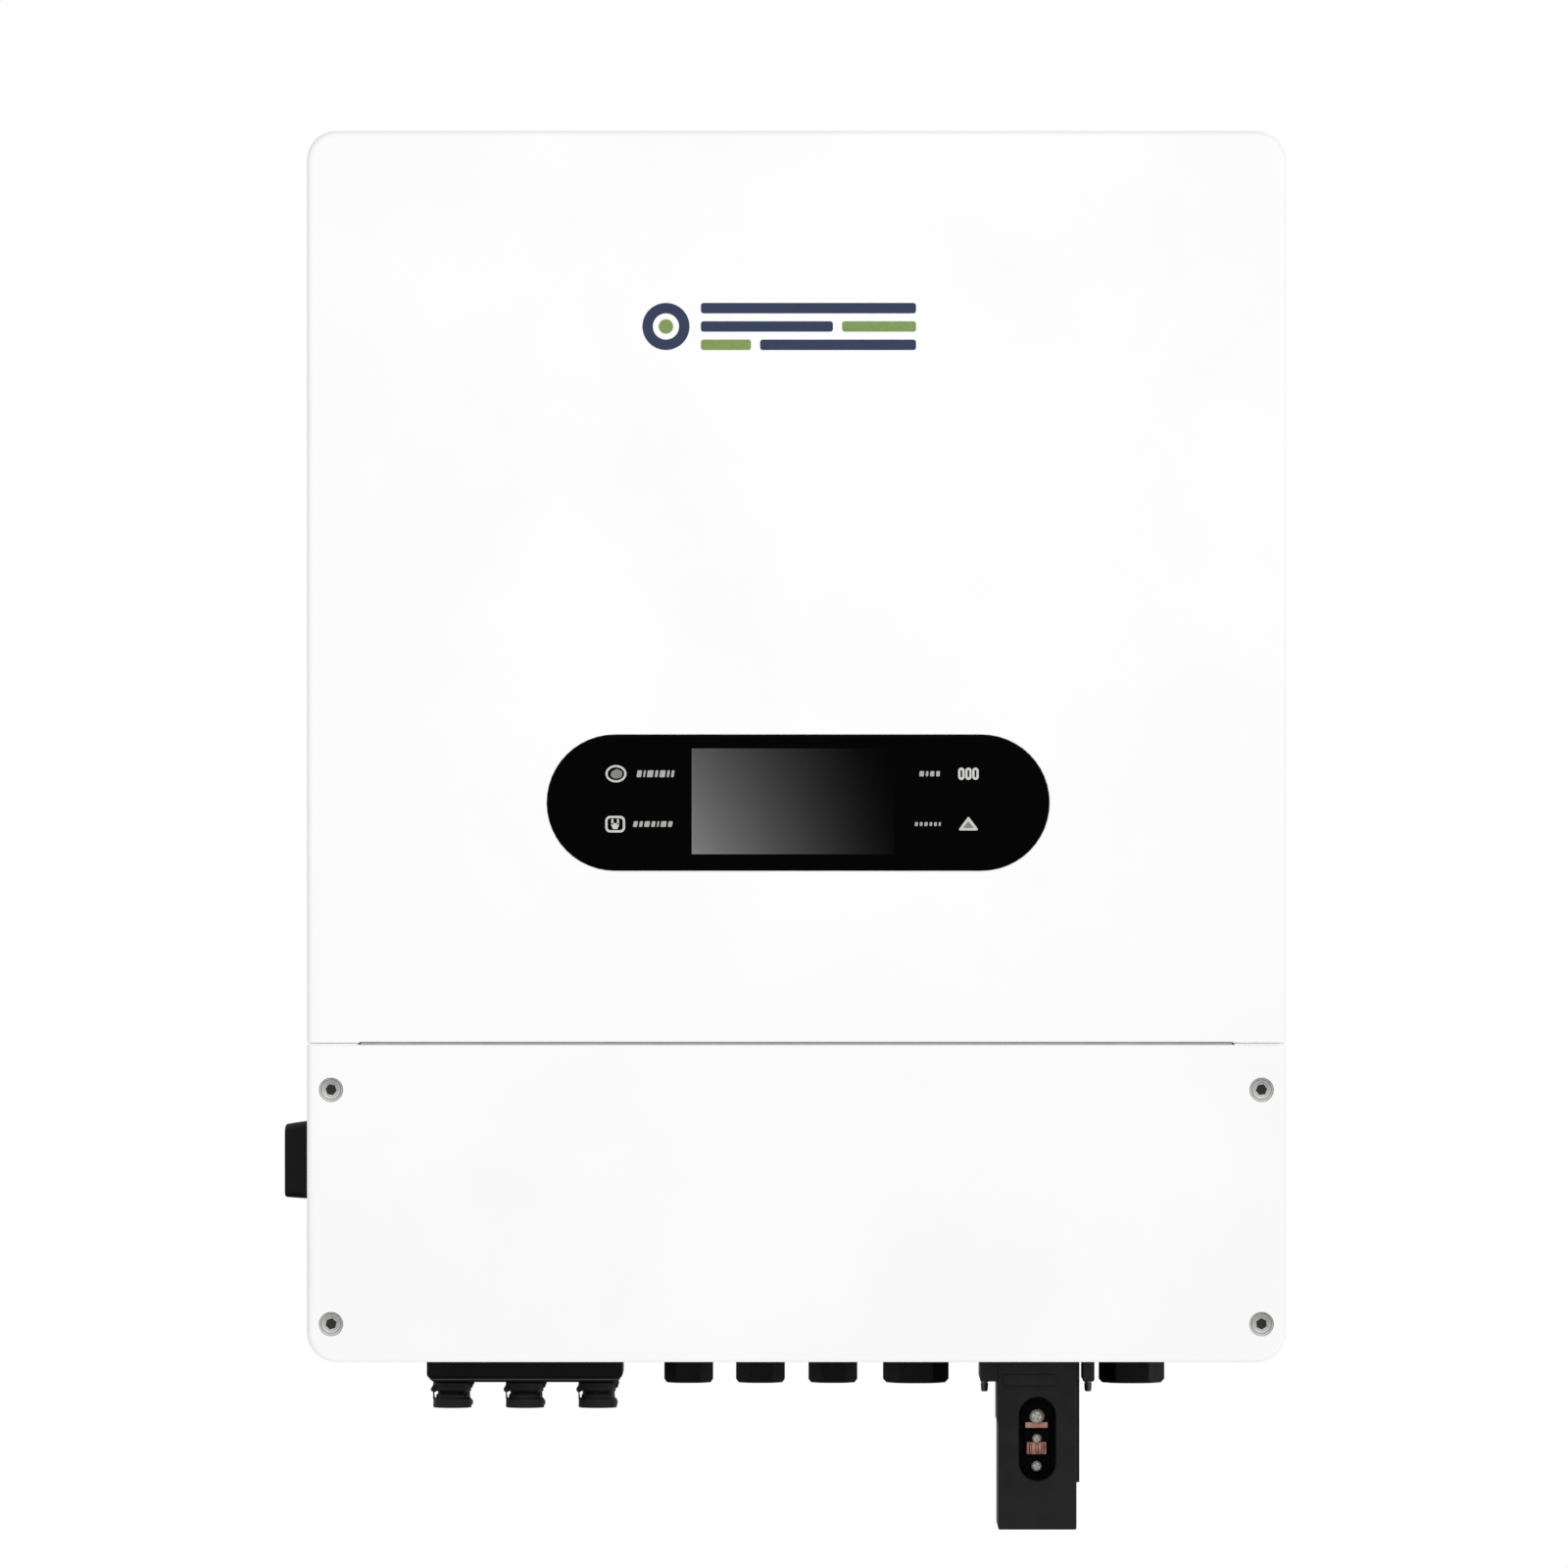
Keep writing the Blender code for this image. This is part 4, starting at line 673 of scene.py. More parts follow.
def make_cover(name, low, high, rounded_side, seam, holes):
    """A closed shell. Each hole is a list of (outline, depth) from the front to the inside."""
    outer = [(0, 0, high.y), (0, 0, FRONT + COVER_EDGE + 0.6)]
    for step in range(EDGE_STEPS + 1):
        angle = math.pi / 2 * step / EDGE_STEPS
        reach = 1 - math.cos(angle)
        outer.append((COVER_EDGE * reach, SEAM_EDGE * reach, FRONT + COVER_EDGE * (1 - math.sin(angle))))
    outer.append((COVER_EDGE + 0.4, SEAM_EDGE + 0.5, FRONT))
    inside = FRONT + COVER_WALL
    inner = [(COVER_WALL + 2, COVER_WALL + 1, inside), (COVER_WALL + 0.5, COVER_WALL + 0.2, inside + 0.5)]
    inner += [(COVER_WALL, COVER_WALL, inside + 2), (COVER_WALL, COVER_WALL, high.y)]
    mesh = bmesh.new()
    skins = [
        skin(mesh, [lifted(cover_outline(low, high, inset, seam_inset, rounded_side), depth)
                    for inset, seam_inset, depth in rings])
        for rings in (outer, inner)
    ]
    openings = [skin(mesh, [lifted(*section) for section in hole]) for hole in holes]
    fill(mesh, [skins[0][-1]] + [rings[0] for rings in openings])
    fill(mesh, [skins[1][0]] + [rings[-1] for rings in openings])
    bridge(mesh, skins[0][0], skins[1][-1])
    # Only a short return of the wall is left along the seam.
    reach = high.x - COVER_WALL
    room = brick(bmesh.new(), (-reach, FRONT + SEAM_RETURN, seam - 4), (reach, high.y + 5, seam + 4))
    piece(name + "_shell", carve(mesh, room), "powder_coat", name, name)


def make_upper_cover():
    """The cover with the display opening, whose front edge has a small radius."""
    low, high = box_mm("display_window")
    x, _, z = middle_mm("display_window")
    width, height = high.x - low.x + 0.8, high.z - low.z + 0.8
    edge = 0.6
    hole = [(1.8, FRONT)]
    for step in range(5):
        angle = math.pi / 2 * step / 4
        hole.append((2 * edge * (1 - math.sin(angle)), FRONT + edge * (1 - math.cos(angle))))
    hole.append((0, FRONT + COVER_WALL))
    hole = [(stadium(x, z, width + grow, height + grow), depth) for grow, depth in hole]
    make_cover("upper_cover", COVER_LOW, COVER_HIGH, 1, COVER_LOW.z, [hole])


def screw_places():
    return [middle_mm(f"lower_cover_screw_{number}")[::2] for number in range(1, 5)]


def make_lower_cover():
    """The cover with four screw recesses, each with an inner boss."""
    floor = FRONT + SCREW_RECESS
    profile = [(5.75, FRONT), (5.5, FRONT), (5.42, FRONT + 0.06), (5.32, FRONT + 0.2)]
    profile += [(5.3, FRONT + 0.5), (5.2, floor - 0.4), (4.9, floor), (2.9, floor), (2.9, floor + 2)]
    profile += [(7.0, floor + 2), (7.5, floor + 1.5), (7.5, FRONT + COVER_WALL)]
    holes = [[(circle(x, z, radius), depth) for radius, depth in profile] for x, z in screw_places()]
    make_cover("lower_cover", WIRING_LOW, WIRING_HIGH, -1, WIRING_HIGH.z, holes)


def make_seam():
    """A black foam strip on the chassis rim behind the shadow gap and a grey bead inside the gap, both
    painted shade of the gap, and a lip that closes its ends.
    """
    seam = WIRING_HIGH.z
    # Painted shade: the black strip behind the gap and the grey bead in it stand for the shade inside the
    # shadow gap.
    foam = brick(bmesh.new(), (-188, CASE_LOW.y - 1.1, seam - 1.1), (188, CASE_LOW.y - 0.05, seam + 2.1), 0.4)
    piece("seam_painted_shade_strip", foam, "rubber", "case")
    half = SHADOW_HALF - 0.6
    bead = brick(bmesh.new(), (-half, FRONT + 1.1, seam - 0.3), (half, FRONT + 2.4, seam + 0.75), 0.3)
    piece("seam_painted_shade_bead", bead, "grey_bead", "lower_cover")
    lips = bmesh.new()
    for side in (-1, 1):
        inner, outer = sorted((side * (SHADOW_HALF + 0.6), side * (COVER_HIGH.x - 0.8)))
        brick(lips, (inner, FRONT + 0.75, seam - 0.2), (outer, FRONT + 2.4, COVER_LOW.z - 0.08), 0.12)
    piece("seam_end_lips", lips, "powder_coat", "lower_cover")


# ---- Screws ----
THREAD_PITCH = 0.8
SOCKET_DEPTH = 3.1


def socket_screw(place, head, height, socket, shank, length):
    """A dished socket-head screw. The head grows along +Z of its place, from a seat at 0."""
    per_side = 6
    profile = [(0, -length), (shank - 0.6, -length), (shank, -length + 0.8)]
    for turn in range(int((length - 4) / THREAD_PITCH)):
        low = -length + 1.2 + turn * THREAD_PITCH
        profile += [(shank, low), (shank - 0.32, low + 0.4)]
    profile += [(shank, 0), (head - 0.2, 0), (head, 0.2), (head, height - 0.3), (head - 0.1, height - 0.1)]
    profile += [(head - 0.3, height), (head - 1.0, height - 0.35), (socket + 0.35, height - 0.95)]
    sections = [aimed(place, circle(0, 0, radius, 6 * per_side) if radius else [(0, 0)], level)
                for radius, level in profile]
    sections += [aimed(place, hexagon(socket, per_side), height - depth) for depth in (1.05, SOCKET_DEPTH)]
    sections.append(aimed(place, [(0, 0)], height - SOCKET_DEPTH - 0.6))
    mesh = bmesh.new()
    skin(mesh, sections)
    return mesh


def make_cover_screws():
    for number, (x, z) in enumerate(screw_places(), start=1):
        node = f"lower_cover_screw_{number}"
        low, high = box_mm(node)
        seat = high.y - 15
        height = seat - low.y
        place = aim((x, seat, z), FORWARD) @ Matrix.Rotation(math.radians(17 * number), 4, "Z")
        screw = socket_screw(place, 4.25, height, 2.55, 2.5, 15)
        piece(f"cover_screw_{number}", screw, "satin_steel", node, node, sharp=28)
        # Painted shade: a dark hex plug fills the lower part of each socket.
        shadow = loft(bmesh.new(), [aimed(place, hexagon(2.51), height - depth) for depth in (3.3, 1.7)])
        piece(f"cover_screw_socket_shade_{number}", shadow, "chip", node)
        profile = [(4.4, 0.3), (4.9, 0.3), (5.12, 0.5), (5.12, height + 0.2), (4.95, height + 0.3)]
        profile += [(4.4, height - 0.1)]
        cup = lathe(bmesh.new(), profile, place, closed=True)
        piece(f"cover_screw_cup_{number}", cup, "satin_steel", node)


# ---- Display and prints ----
PRINT_DEPTH = 0.06


def make_display_window():
    low, high = box_mm("display_window")
    x, _, z = middle_mm("display_window")
    width, height = high.x - low.x, high.z - low.z
    rings = [(1.2, low.y)]
    for step in range(6):
        angle = math.pi / 2 * step / 5
        rings.append((0.5 * (1 - math.sin(angle)), low.y + 0.5 * (1 - math.cos(angle))))
    rings.append((0, high.y))
    sections = [lifted(stadium(x, z, width - 2 * inset, height - 2 * inset), depth) for inset, depth in rings]
    piece("display_pane", loft(bmesh.new(), sections), "display_glass", "upper_cover", "display_window")


def printed(name, outlines, finish, surface):
    """Thin printed shapes on a surface of the upper cover that faces the front."""
    mesh = bmesh.new()
    for loops in outlines:
        slab(mesh, loops, surface - PRINT_DEPTH, surface + PRINT_DEPTH)
    piece(name, mesh, finish, "upper_cover")


def oval(x, z, width, height):
    return [(x + width / 2 * u, z + height / 2 * v) for u, v in circle(0, 0, 1)]


def dashes(x, z, height, widths, lean=0.5):
    """A row of leaning bars that stands for a printed word."""
    outlines = []
    low, high = z - height / 2, z + height / 2
    for width in widths:
        corners = [(x, low), (x + width, low), (x + width + lean, high), (x + lean, high)]
        outlines.append([round_path(corners, 0.35)])
        x += width + 0.85
    return outlines


def make_display_prints():
    """Four simple symbols beside the screen, each with a row of dashes for its label."""
    surface = box_mm("display_window")[0].y
    left, right = -79.2, 75.6
    upper, lower = up(258.5), up(236.4)
    shapes = [[oval(left, upper, 9.2, 7.6), oval(left, upper, 7.4, 5.8)]]
    shapes.append([
        rounded_box(left - 4.7, left + 4.0, lower - 3.7, lower + 3.6, 2.2),
        rounded_box(left - 3.7, left + 3.0, lower - 2.7, lower + 2.6, 1.3),
    ])
    shapes += [[stadium(left + dx, lower + 1.0, 0.9, 2.6)] for dx in (-1.6, 0.9)]
    plug = [(-2.5, 0.4), (-1.3, -2.2), (0.6, -2.2), (1.8, 0.4)]
    shapes.append([round_path([(left + u, lower + v) for u, v in plug], 0.6)])
    for dx in (-3.1, 0.0, 3.1):
        shapes.append([stadium(right + dx, upper, 2.8, 5.4), stadium(right + dx, upper, 0.8, 3.2)])
    peak = [(right - 4.6, lower - 2.8), (right + 4.6, lower - 2.8), (right, lower + 3.4)]
    hollow = round_path([(right - 2.6, lower - 1.8), (right + 2.6, lower - 1.8), (right, lower + 1.3)], 0.3)
    printed("display_icons", shapes + [[round_path(peak, 0.5), hollow]], "print_white", surface)

    words = dashes(-70.2, upper, 3.0, (2.0, 0.8, 2.6, 1.2, 2.4, 1.0, 1.2))
    words += dashes(-71.8, lower, 2.5, (1.8, 1.4, 2.2, 1.6, 0.8, 2.4, 1.8))
    words += dashes(54.0, upper, 2.3, (2.0, 1.0, 1.8, 1.6), 0.2)
    words += dashes(52.0, lower, 1.7, (1.3, 1.2, 1.4, 1.1, 1.2, 0.9), 0.2)
    printed("display_words", words, "print_light", surface)

    swirl = [(2.6, 1.2), (0.4, 2.2), (-2.0, 1.0), (-2.6, -0.9), (-0.6, -2.2), (2.3, -1.7), (2.9, -0.2)]
    glow = [[round_path([(left + u, upper + v) for u, v in swirl], 1.4)], [hollow]]
    printed("display_icon_fills", glow, "print_grey", surface + 0.02)


def make_badge():
    """A generic badge: a sun in a ring and three rows of plain bars, in navy and green."""
    low_h, high_h = 444.6, 465.3
    left, right = -67.6, 52.6
    z = up((low_h + high_h) / 2)
    radius = (high_h - low_h) / 2
    x = left + radius
    start = left + 2 * radius + 5
    thick = 4.6
    low, high = z - radius, z + radius
    bars = [[circle(x, z, radius, 64), circle(x, z, radius - thick, 64)]]
    bars.append([rounded_box(start, right, high - thick, high, 1.2)])
    bars.append([rounded_box(start, start + 58, z - thick / 2, z + thick / 2, 1.2)])
    bars.append([rounded_box(start + 26, right, low, low + thick, 1.2)])
    printed("badge_bars", bars, "badge_navy", FRONT)
    accents = [[circle(x, z, 3.2)], [rounded_box(start + 62, right, z - thick / 2, z + thick / 2, 1.2)]]
    accents.append([rounded_box(start, start + 22, low, low + thick, 1.2)])
    printed("badge_accents", accents, "badge_green", FRONT)


# ---- Chassis ----
RIM = 22.0
SHEET = 2.5
SHELF_LOW, SHELF_HIGH = 140, 143
ENTRY_Y = -111.0
SWITCH_Y = -106.0
SMALL_THREAD = 8.0
LARGE_THREAD = 11.0


def chassis_block():
    rear_edge, front_edge = 2, 0.8
    front, rear = CASE_LOW.y, CASE_HIGH.y
    rings = [(1.6, front), (front_edge, front)]
    for angle in (0.5, 1.0, math.pi / 2):
        rings.append((front_edge * (1 - math.sin(angle)), front + front_edge * (1 - math.cos(angle))))
    rings += [(0, front + 2), (0, rear - 2.6)]
    for angle in (0, 0.4, 0.8, 1.2, math.pi / 2):
        rings.append((rear_edge * (1 - math.cos(angle)), rear - rear_edge * (1 - math.sin(angle))))
    sections = []
    for inset, depth in rings + [(2.8, rear)]:
        left, right = CASE_LOW.x + inset, CASE_HIGH.x - inset
        outline = rounded_box(left, right, CASE_LOW.z + inset, CASE_HIGH.z - inset, 9.5 - inset, steps=10)
        sections.append(lifted(outline, depth))
    return loft(bmesh.new(), sections)


def make_chassis():
    """The tub: openings and rooms are cut first, then come the posts, then the small holes."""
    front, rear = CASE_LOW.y, CASE_HIGH.y
    inner = CASE_HIGH.x - SHEET
    floor, roof = CASE_LOW.z + SHEET, CASE_HIGH.z - SHEET
    openings, rooms, supports, holes = bmesh.new(), bmesh.new(), bmesh.new(), bmesh.new()
    half = inner - RIM + SHEET
    for low, high in ((up(21), up(130)), (up(150), roof + SHEET - RIM)):
        slab(openings, [rounded_box(-half, half, low, high, 6, steps=6)], front - 5, front + 5)
    slab(openings, [rounded_box(-178, 178, up(165), up(515), 4, steps=4)], rear - 10, rear + 10)
    for low, high in ((floor, up(SHELF_LOW)), (up(SHELF_HIGH), roof)):
        slab(rooms, [rounded_box(-inner, inner, low, high, 7)], front + 3, rear - 3)
    for x, z in screw_places():
        lathe(supports, [(0, 14), (5.2, 14), (5.2, -1), (0, -1)], aim((x, front + 3, z), BACKWARD), 28)
        hole_rod(holes, aim((x, front + 6, z), BACKWARD), 3.0, 16)
    reach = rear - box_mm("power_board")[1].y - GAP
    for x in (-187, 187):
        for h in (285, 500):
            rod(supports, aim((x, rear, up(h)), FORWARD), 4, 1, reach)
    bottom = CASE_LOW.z + 1
    for x, _, radius in gland_places():
        hole_rod(holes, aim((x, ENTRY_Y, bottom)), radius + 0.4, 9)
    for side in ("left", "right"):
        hole_rod(holes, aim((middle_mm("battery_box_screw_" + side)[0], ENTRY_Y, bottom)), 1.9, 9)
    x, y, _ = middle_mm("breather_valve")
    hole_rod(holes, aim((x, y, bottom)), 4.4, 9)
    hole_rod(holes, aim((CASE_LOW.x, SWITCH_Y, middle_mm("dc_switch_knob")[2]), RIGHTWARD), 5, 12)
    hole_rod(holes, aim((CASE_HIGH.x, *middle_mm("earth_screw")[1:]), RIGHTWARD), 3, 12)
    x = middle_mm("pv_connector_block")[0]
    entry = rounded_box(x - 40, x + 40, ENTRY_Y - 23, ENTRY_Y + 23, 3, steps=4)
    slab(holes, [entry], bottom - 5, bottom + 5, on_top)
    x = middle_mm("battery_box")[0]
    slab(holes, [rounded_box(x - 12, x + 12, -131, -97, 2, steps=4)], bottom - 5, bottom + 5, on_top)
    mesh = carve(carve(chassis_block(), openings), rooms)
    mesh = carve(carve(mesh, supports, "UNION"), holes)
    piece("chassis_tub", mesh, "powder_coat", "case", "chassis")


# ---- Back: heat sink, hanger and wall bracket ----
FIN_COUNT = 28
FIN_PITCH = 14.0


def make_heat_sink():
    """The comb of fins, with round tips and filleted roots."""
    low, high = box_mm("heat_sink")
    root = low.y + 8
    outline = [(low.x, low.y), (high.x, low.y), (high.x, root)]
    for number in reversed(range(FIN_COUNT)):
        x = (number - (FIN_COUNT - 1) / 2) * FIN_PITCH
        outline += [(min(x + 2.4, high.x - 0.2), root), (x + 1.6, root + 1.0)]
        outline += arc((x, high.y - 1.1), 1.1, 0, 180, 6)
        outline += [(x - 1.6, root + 1.0), (max(x - 2.4, low.x + 0.2), root)]
    outline.append((low.x, root))
    piece("fin_block", slab(bmesh.new(), [outline], low.z, high.z, on_top), "extruded", "case", "heat_sink")


def hook_sheet(node, first_y, shelf, last_y):
    """A folded sheet as wide as its node: a leaf, a shelf and a second leaf."""
    low, high = box_mm(node)
    shelf -= SHEET / 2
    path = [(first_y, low.z), (first_y, shelf), (last_y, shelf), (last_y, high.z)]
    return slab(bmesh.new(), [bent_sheet(path, SHEET, 1.0)], low.x, high.x, on_side)


def make_wall_bracket():
    plate = hook_sheet("wall_bracket", -SHEET / 2, 30, box_mm("wall_bracket")[0].y + SHEET / 2)
    holes = bmesh.new()
    for x in (-140, -70, 70, 140):
        for z in (-32, 6):
            hole_rod(holes, aim((x, 0, z), BACKWARD), 4.5, 12)
    slab(holes, [stadium(0, -32, 30, 9)], -10, 10)
    piece("wall_plate", carve(plate, holes), "zinc_plate", "wall", "wall_bracket")


def make_hanger_rail():
    low, high = box_mm("hanger_rail")
    rail = hook_sheet("hanger_rail", high.y - SHEET / 2, 52.5, low.y + SHEET / 2)
    piece("hook_rail", rail, "zinc_plate", "case", "hanger_rail")
    heads = bmesh.new()
    profile = [(0, 0.6), (1.6, 0.6), (1.8, 2.0), (3.2, 2.0), (4.2, 1.2), (4.4, 0.02), (0, 0.02)]
    for x in (-133, -63, 63, 133):
        lathe(heads, profile, aim((x, low.y + SHEET, 78), BACKWARD))
    piece("hook_rail_screws", heads, "stainless", "case")


# ---- Isolator knob ----
def make_knob():
    """A round skirt and a grip bar that narrows outwards, with a white pointer line."""
    low, high = box_mm("dc_switch_knob")
    z = (low.z + high.z) / 2
    radius = (high.z - low.z) / 2
    face = CASE_LOW.x - GAP
    profile = [(0, -20), (3.4, -20), (3.9, -19.5), (3.9, 0), (radius - 0.5, 0), (radius, 0.5), (radius, 1.4)]
    profile += [(radius - 0.5, 1.6), (radius - 0.5, 2.0), (radius - 0.1, 2.2), (radius - 0.3, 3.3)]
    profile += [(radius - 1.2, 4.0), (0, 4.2)]
    skirt = lathe(bmesh.new(), profile, aim((face, SWITCH_Y, z), LEFTWARD), 64)
    reach = face - low.x
    levels = [
        (0.0, 3.2), (0.1, 5.5), (0.4, 9), (0.8, 13),
        (1.1, reach - 0.9), (1.6, reach - 0.3), (2.5, reach)]
    sections = []
    for inset, level in levels:
        outline = rounded_box(-6 + inset, 6 - inset, -radius + inset * 0.7, radius - inset * 1.5, 3)
        sections.append([(face - level, SWITCH_Y + u, z + v) for u, v in outline])
    body = carve(skirt, loft(bmesh.new(), sections), "UNION")
    piece("knob_body", body, "knob_black", "dc_switch_knob", "dc_switch_knob", sharp=40)
    first, last = (low.x - 0.05, SWITCH_Y - 0.7, z + 2), (low.x + 0.3, SWITCH_Y + 0.7, z + radius - 4)
    piece("knob_pointer", brick(bmesh.new(), first, last, 0.15), "print_white", "dc_switch_knob")
    marks = bmesh.new()
    ring_mark = [circle(SWITCH_Y, z + 26, mark_radius) for mark_radius in (3.0, 2.1)]
    dash = [rounded_box(SWITCH_Y - 29.4, SWITCH_Y - 23.4, z - 0.5, z + 0.5, 0.3, steps=3)]
    for loops in (ring_mark, dash):
        slab(marks, loops, CASE_LOW.x - 0.08, CASE_LOW.x + 0.05, on_side)
    piece("switch_marks", marks, "chip", "case")


# ---- Entries under the case ----
def gland_places():
    """(x, CAD name, thread radius) of each gland."""
    small = [f"com_gland_{number}" for number in (1, 2, 3)]
    threads = [(name, SMALL_THREAD) for name in small]
    threads += [("grid_gland", LARGE_THREAD), ("load_gland", LARGE_THREAD)]
    return [(middle_mm(name)[0], name, radius) for name, radius in threads]


def hex_solid(place, corner, low, high, chamfer_low, chamfer_high):
    """A hexagon prism whose ends are turned down, so that its corners are rounded off."""
    prism = slab(bmesh.new(), [circle(0, 0, corner, 6)], low, high, on_place(place))
    slim = corner * 0.9
    big = corner + 0.05
    profile = [(0, low - 1), (slim, low - 1), (slim, low + 0.01), (big, low + chamfer_low)]
    profile += [(big, high - chamfer_high), (slim, high - 0.01), (slim, high + 1), (0, high + 1)]
    return carve(prism, lathe(bmesh.new(), profile, place, 64), "INTERSECT")


def make_glands():
    """Threaded bodies with a flange outside and a locknut inside, and their dome nuts."""
    pitch = 1.5
    for x, name, thread in gland_places():
        low, high = box_mm(name)
        corner = (high.x - low.x) / 2
        top = CASE_LOW.z - GAP
        place = aim((x, ENTRY_Y, 0))
        flange = hex_solid(place, corner, top - 4.5, top, 0.9, 0.3)
        nut_low, nut_high = box_mm(name + "_nut")
        end = nut_low.z + 5
        profile = [(0, high.z), (thread - 1.2, high.z), (thread - 0.5, high.z - 0.7)]
        level = high.z - 1.0
        while level > end + pitch:
            profile += [(thread, level), (thread - 0.55, level - pitch / 2)]
            level -= pitch
        profile += [(thread - 0.6, end), (0, end)]
        mesh = carve(flange, lathe(bmesh.new(), profile, place), "UNION")
        piece(name + "_body", mesh, "moulded_dark", "case", name, sharp=38)
        floor = CASE_LOW.z + SHEET
        nut = hex_solid(place, corner, floor + GAP, floor + 5, 0.6, 0.6)
        piece(name + "_locknut", nut, "moulded_black", "case")
        make_gland_nut(name, place, corner, thread, nut_low.z, nut_high.z)


def make_gland_nut(name, place, corner, thread, low, high):
    """The dome nut with its smooth mouth, and the seal that blanks it."""
    bore = thread + 0.35
    mouth = thread * 0.68
    profile = [(0, high + 2), (bore, high + 2), (bore, low + 3.6), (mouth, low + 2.2), (mouth, low + 0.8)]
    profile += [(mouth + 1.1, low - 0.3), (mouth + 1.1, low - 2), (0, low - 2)]
    mesh = carve(hex_solid(place, corner, low, high, 1.6, 0.8), lathe(bmesh.new(), profile, place, 48))
    piece(name + "_dome_nut", mesh, "moulded_dark", name + "_nut", name + "_nut", sharp=38)
    profile = [
        (0, low + 3.4), (mouth - 0.15, low + 3.4),
        (mouth - 0.15, low + 0.9), (mouth - 0.9, low + 0.35)]
    profile += [(mouth * 0.6, low + 0.9), (mouth * 0.55, low + 1.4), (0, low + 1.5)]
    piece(name + "_blanking_seal", lathe(bmesh.new(), profile, place), "rubber", "case")


def pv_places():
    return [middle_mm(f"pv_connector_{number}")[:2] for number in range(1, 7)]


def make_pv_block():
    """The carrier of the solar connectors: chamfered, with a lighter bead along its lower edge as a painted
    highlight, and two screws.
    """
    low, high = box_mm("pv_connector_block")
    middle = (low.x + high.x) / 2
    screw_columns = (middle - 16.2, middle + 16.2)

    def outline(inset):
        return rounded_box(low.x + inset, high.x - inset, low.y + inset, high.y - inset, 3.0, steps=6)

    levels = ((0, high.z), (0, low.z + 3.2), (0.25, low.z + 2.6), (2.2, low.z + 0.5), (2.9, low.z))
    block = loft(bmesh.new(), [lifted(outline(inset), level, on_top) for inset, level in levels])
    holes, screws = bmesh.new(), bmesh.new()
    profile = [(0, high.z + 2), (6.3, high.z + 2), (6.3, low.z + 1), (7.4, low.z - 0.3), (7.4, low.z - 2)]
    for x, y in pv_places():
        lathe(holes, profile + [(0, low.z - 2)], aim((x, y, 0)))
    head = [(0, -1.5), (1.1, -1.5), (1.2, -0.4), (2.4, -0.5), (2.8, -0.9), (2.8, -2.8), (0, -2.8)]
    for x in screw_columns:
        hole_rod(holes, aim((x, ENTRY_Y, low.z)), 3.0, 6)
        lathe(screws, head, aim((x, ENTRY_Y, low.z), DOWNWARD), 24)
    piece("pv_carrier", carve(block, holes), "moulded_dark", "case", "pv_connector_block")
    # Painted highlight: a lighter bead along the chamfer's lower edge stands for the sheen on that edge.
    bead = slab(bmesh.new(), [outline(1.25), outline(2.2)], low.z + 1.0, low.z + 1.6, on_top)
    piece("pv_carrier_painted_highlight", bead, "relay_case", "case")
    piece("pv_carrier_screws", screws, "satin_steel", "case")


def make_pv_connectors():
    """Waisted solar connectors: a shoulder, a hooked latch, a flared nose and a contact.

    The rear row has lower, slimmer waists and no latch strand, so that the gaps line up
    when both rows are seen from the front."""
    front_row = min(y for x, y in pv_places())
    shoulder = box_mm("pv_connector_block")[0].z - GAP
    strand = [(-0.1, 1.5), (0.1, 0.6), (0.1, -2.0), (1.0, -2.7), (0.9, -1.8), (0.6, 0.6)]
    for number, (x, y) in enumerate(pv_places(), start=1):
        node = f"pv_connector_{number}"
        low, high = box_mm(node)
        end = low.z
        nose = (high.x - low.x) / 2
        place = aim((x, y, 0))
        in_front = y < front_row + 1
        waist, neck = (shoulder - 5.6, nose - 3.4) if in_front else (shoulder - 7.6, nose - 4.3)
        path = [
            (0, high.z), (4.6, high.z), (4.9, high.z - 6),
            (6.0, high.z - 6.4), (6.0, shoulder), (nose, shoulder)]
        path += [(nose - 0.1, shoulder - 1.2), (nose - 0.9, shoulder - 2.2), (nose - 1.0, waist + 2.3)]
        path += [(neck + 0.1, waist + 0.6), (neck, waist - 0.6), (neck + 0.6, waist - 1.2)]
        path += [(nose - 0.5, waist - 1.5), (nose - 0.2, waist - 1.9), (nose - 0.1, end)]
        path += [(nose - 1.3, end), (nose - 1.5, end + 6), (3.6, end + 6), (3.6, end + 0.6), (2.4, end + 0.6)]
        path += [(2.4, end + 9), (0, end + 9)]
        shell = lathe(bmesh.new(), round_path(path, 0.5, closed=False, steps=3), place, 56)
        hook = [(2.6, 3.4), (0.2, 4.5), (-0.9, 2.5), (-0.7, 1.4)] + strand * in_front + [(0.8, 2.0)]
        hook = round_path([(x - nose + u, waist + v) for u, v in hook], 0.4)
        latches = slab(bmesh.new(), [hook], y - 2.2, y + 2.2)
        brick(latches, (x + nose - 1.6, y - 2.2, shoulder - 2.6),
              (x + nose + 0.4, y + 2.2, shoulder - 0.4), 0.5)
        shell = carve(shell, latches, "UNION")
        piece(f"solar_connector_{number}", shell, "moulded_black", "case", node, sharp=38)
        profile = [
            (0, end + 9.2), (1.9, end + 9.2), (1.9, end + 2),
            (1.3, end + 1.6), (1.3, end + 4), (0, end + 4)]
        piece(f"solar_contact_{number}", lathe(bmesh.new(), profile, place, 24), "stainless", "case")


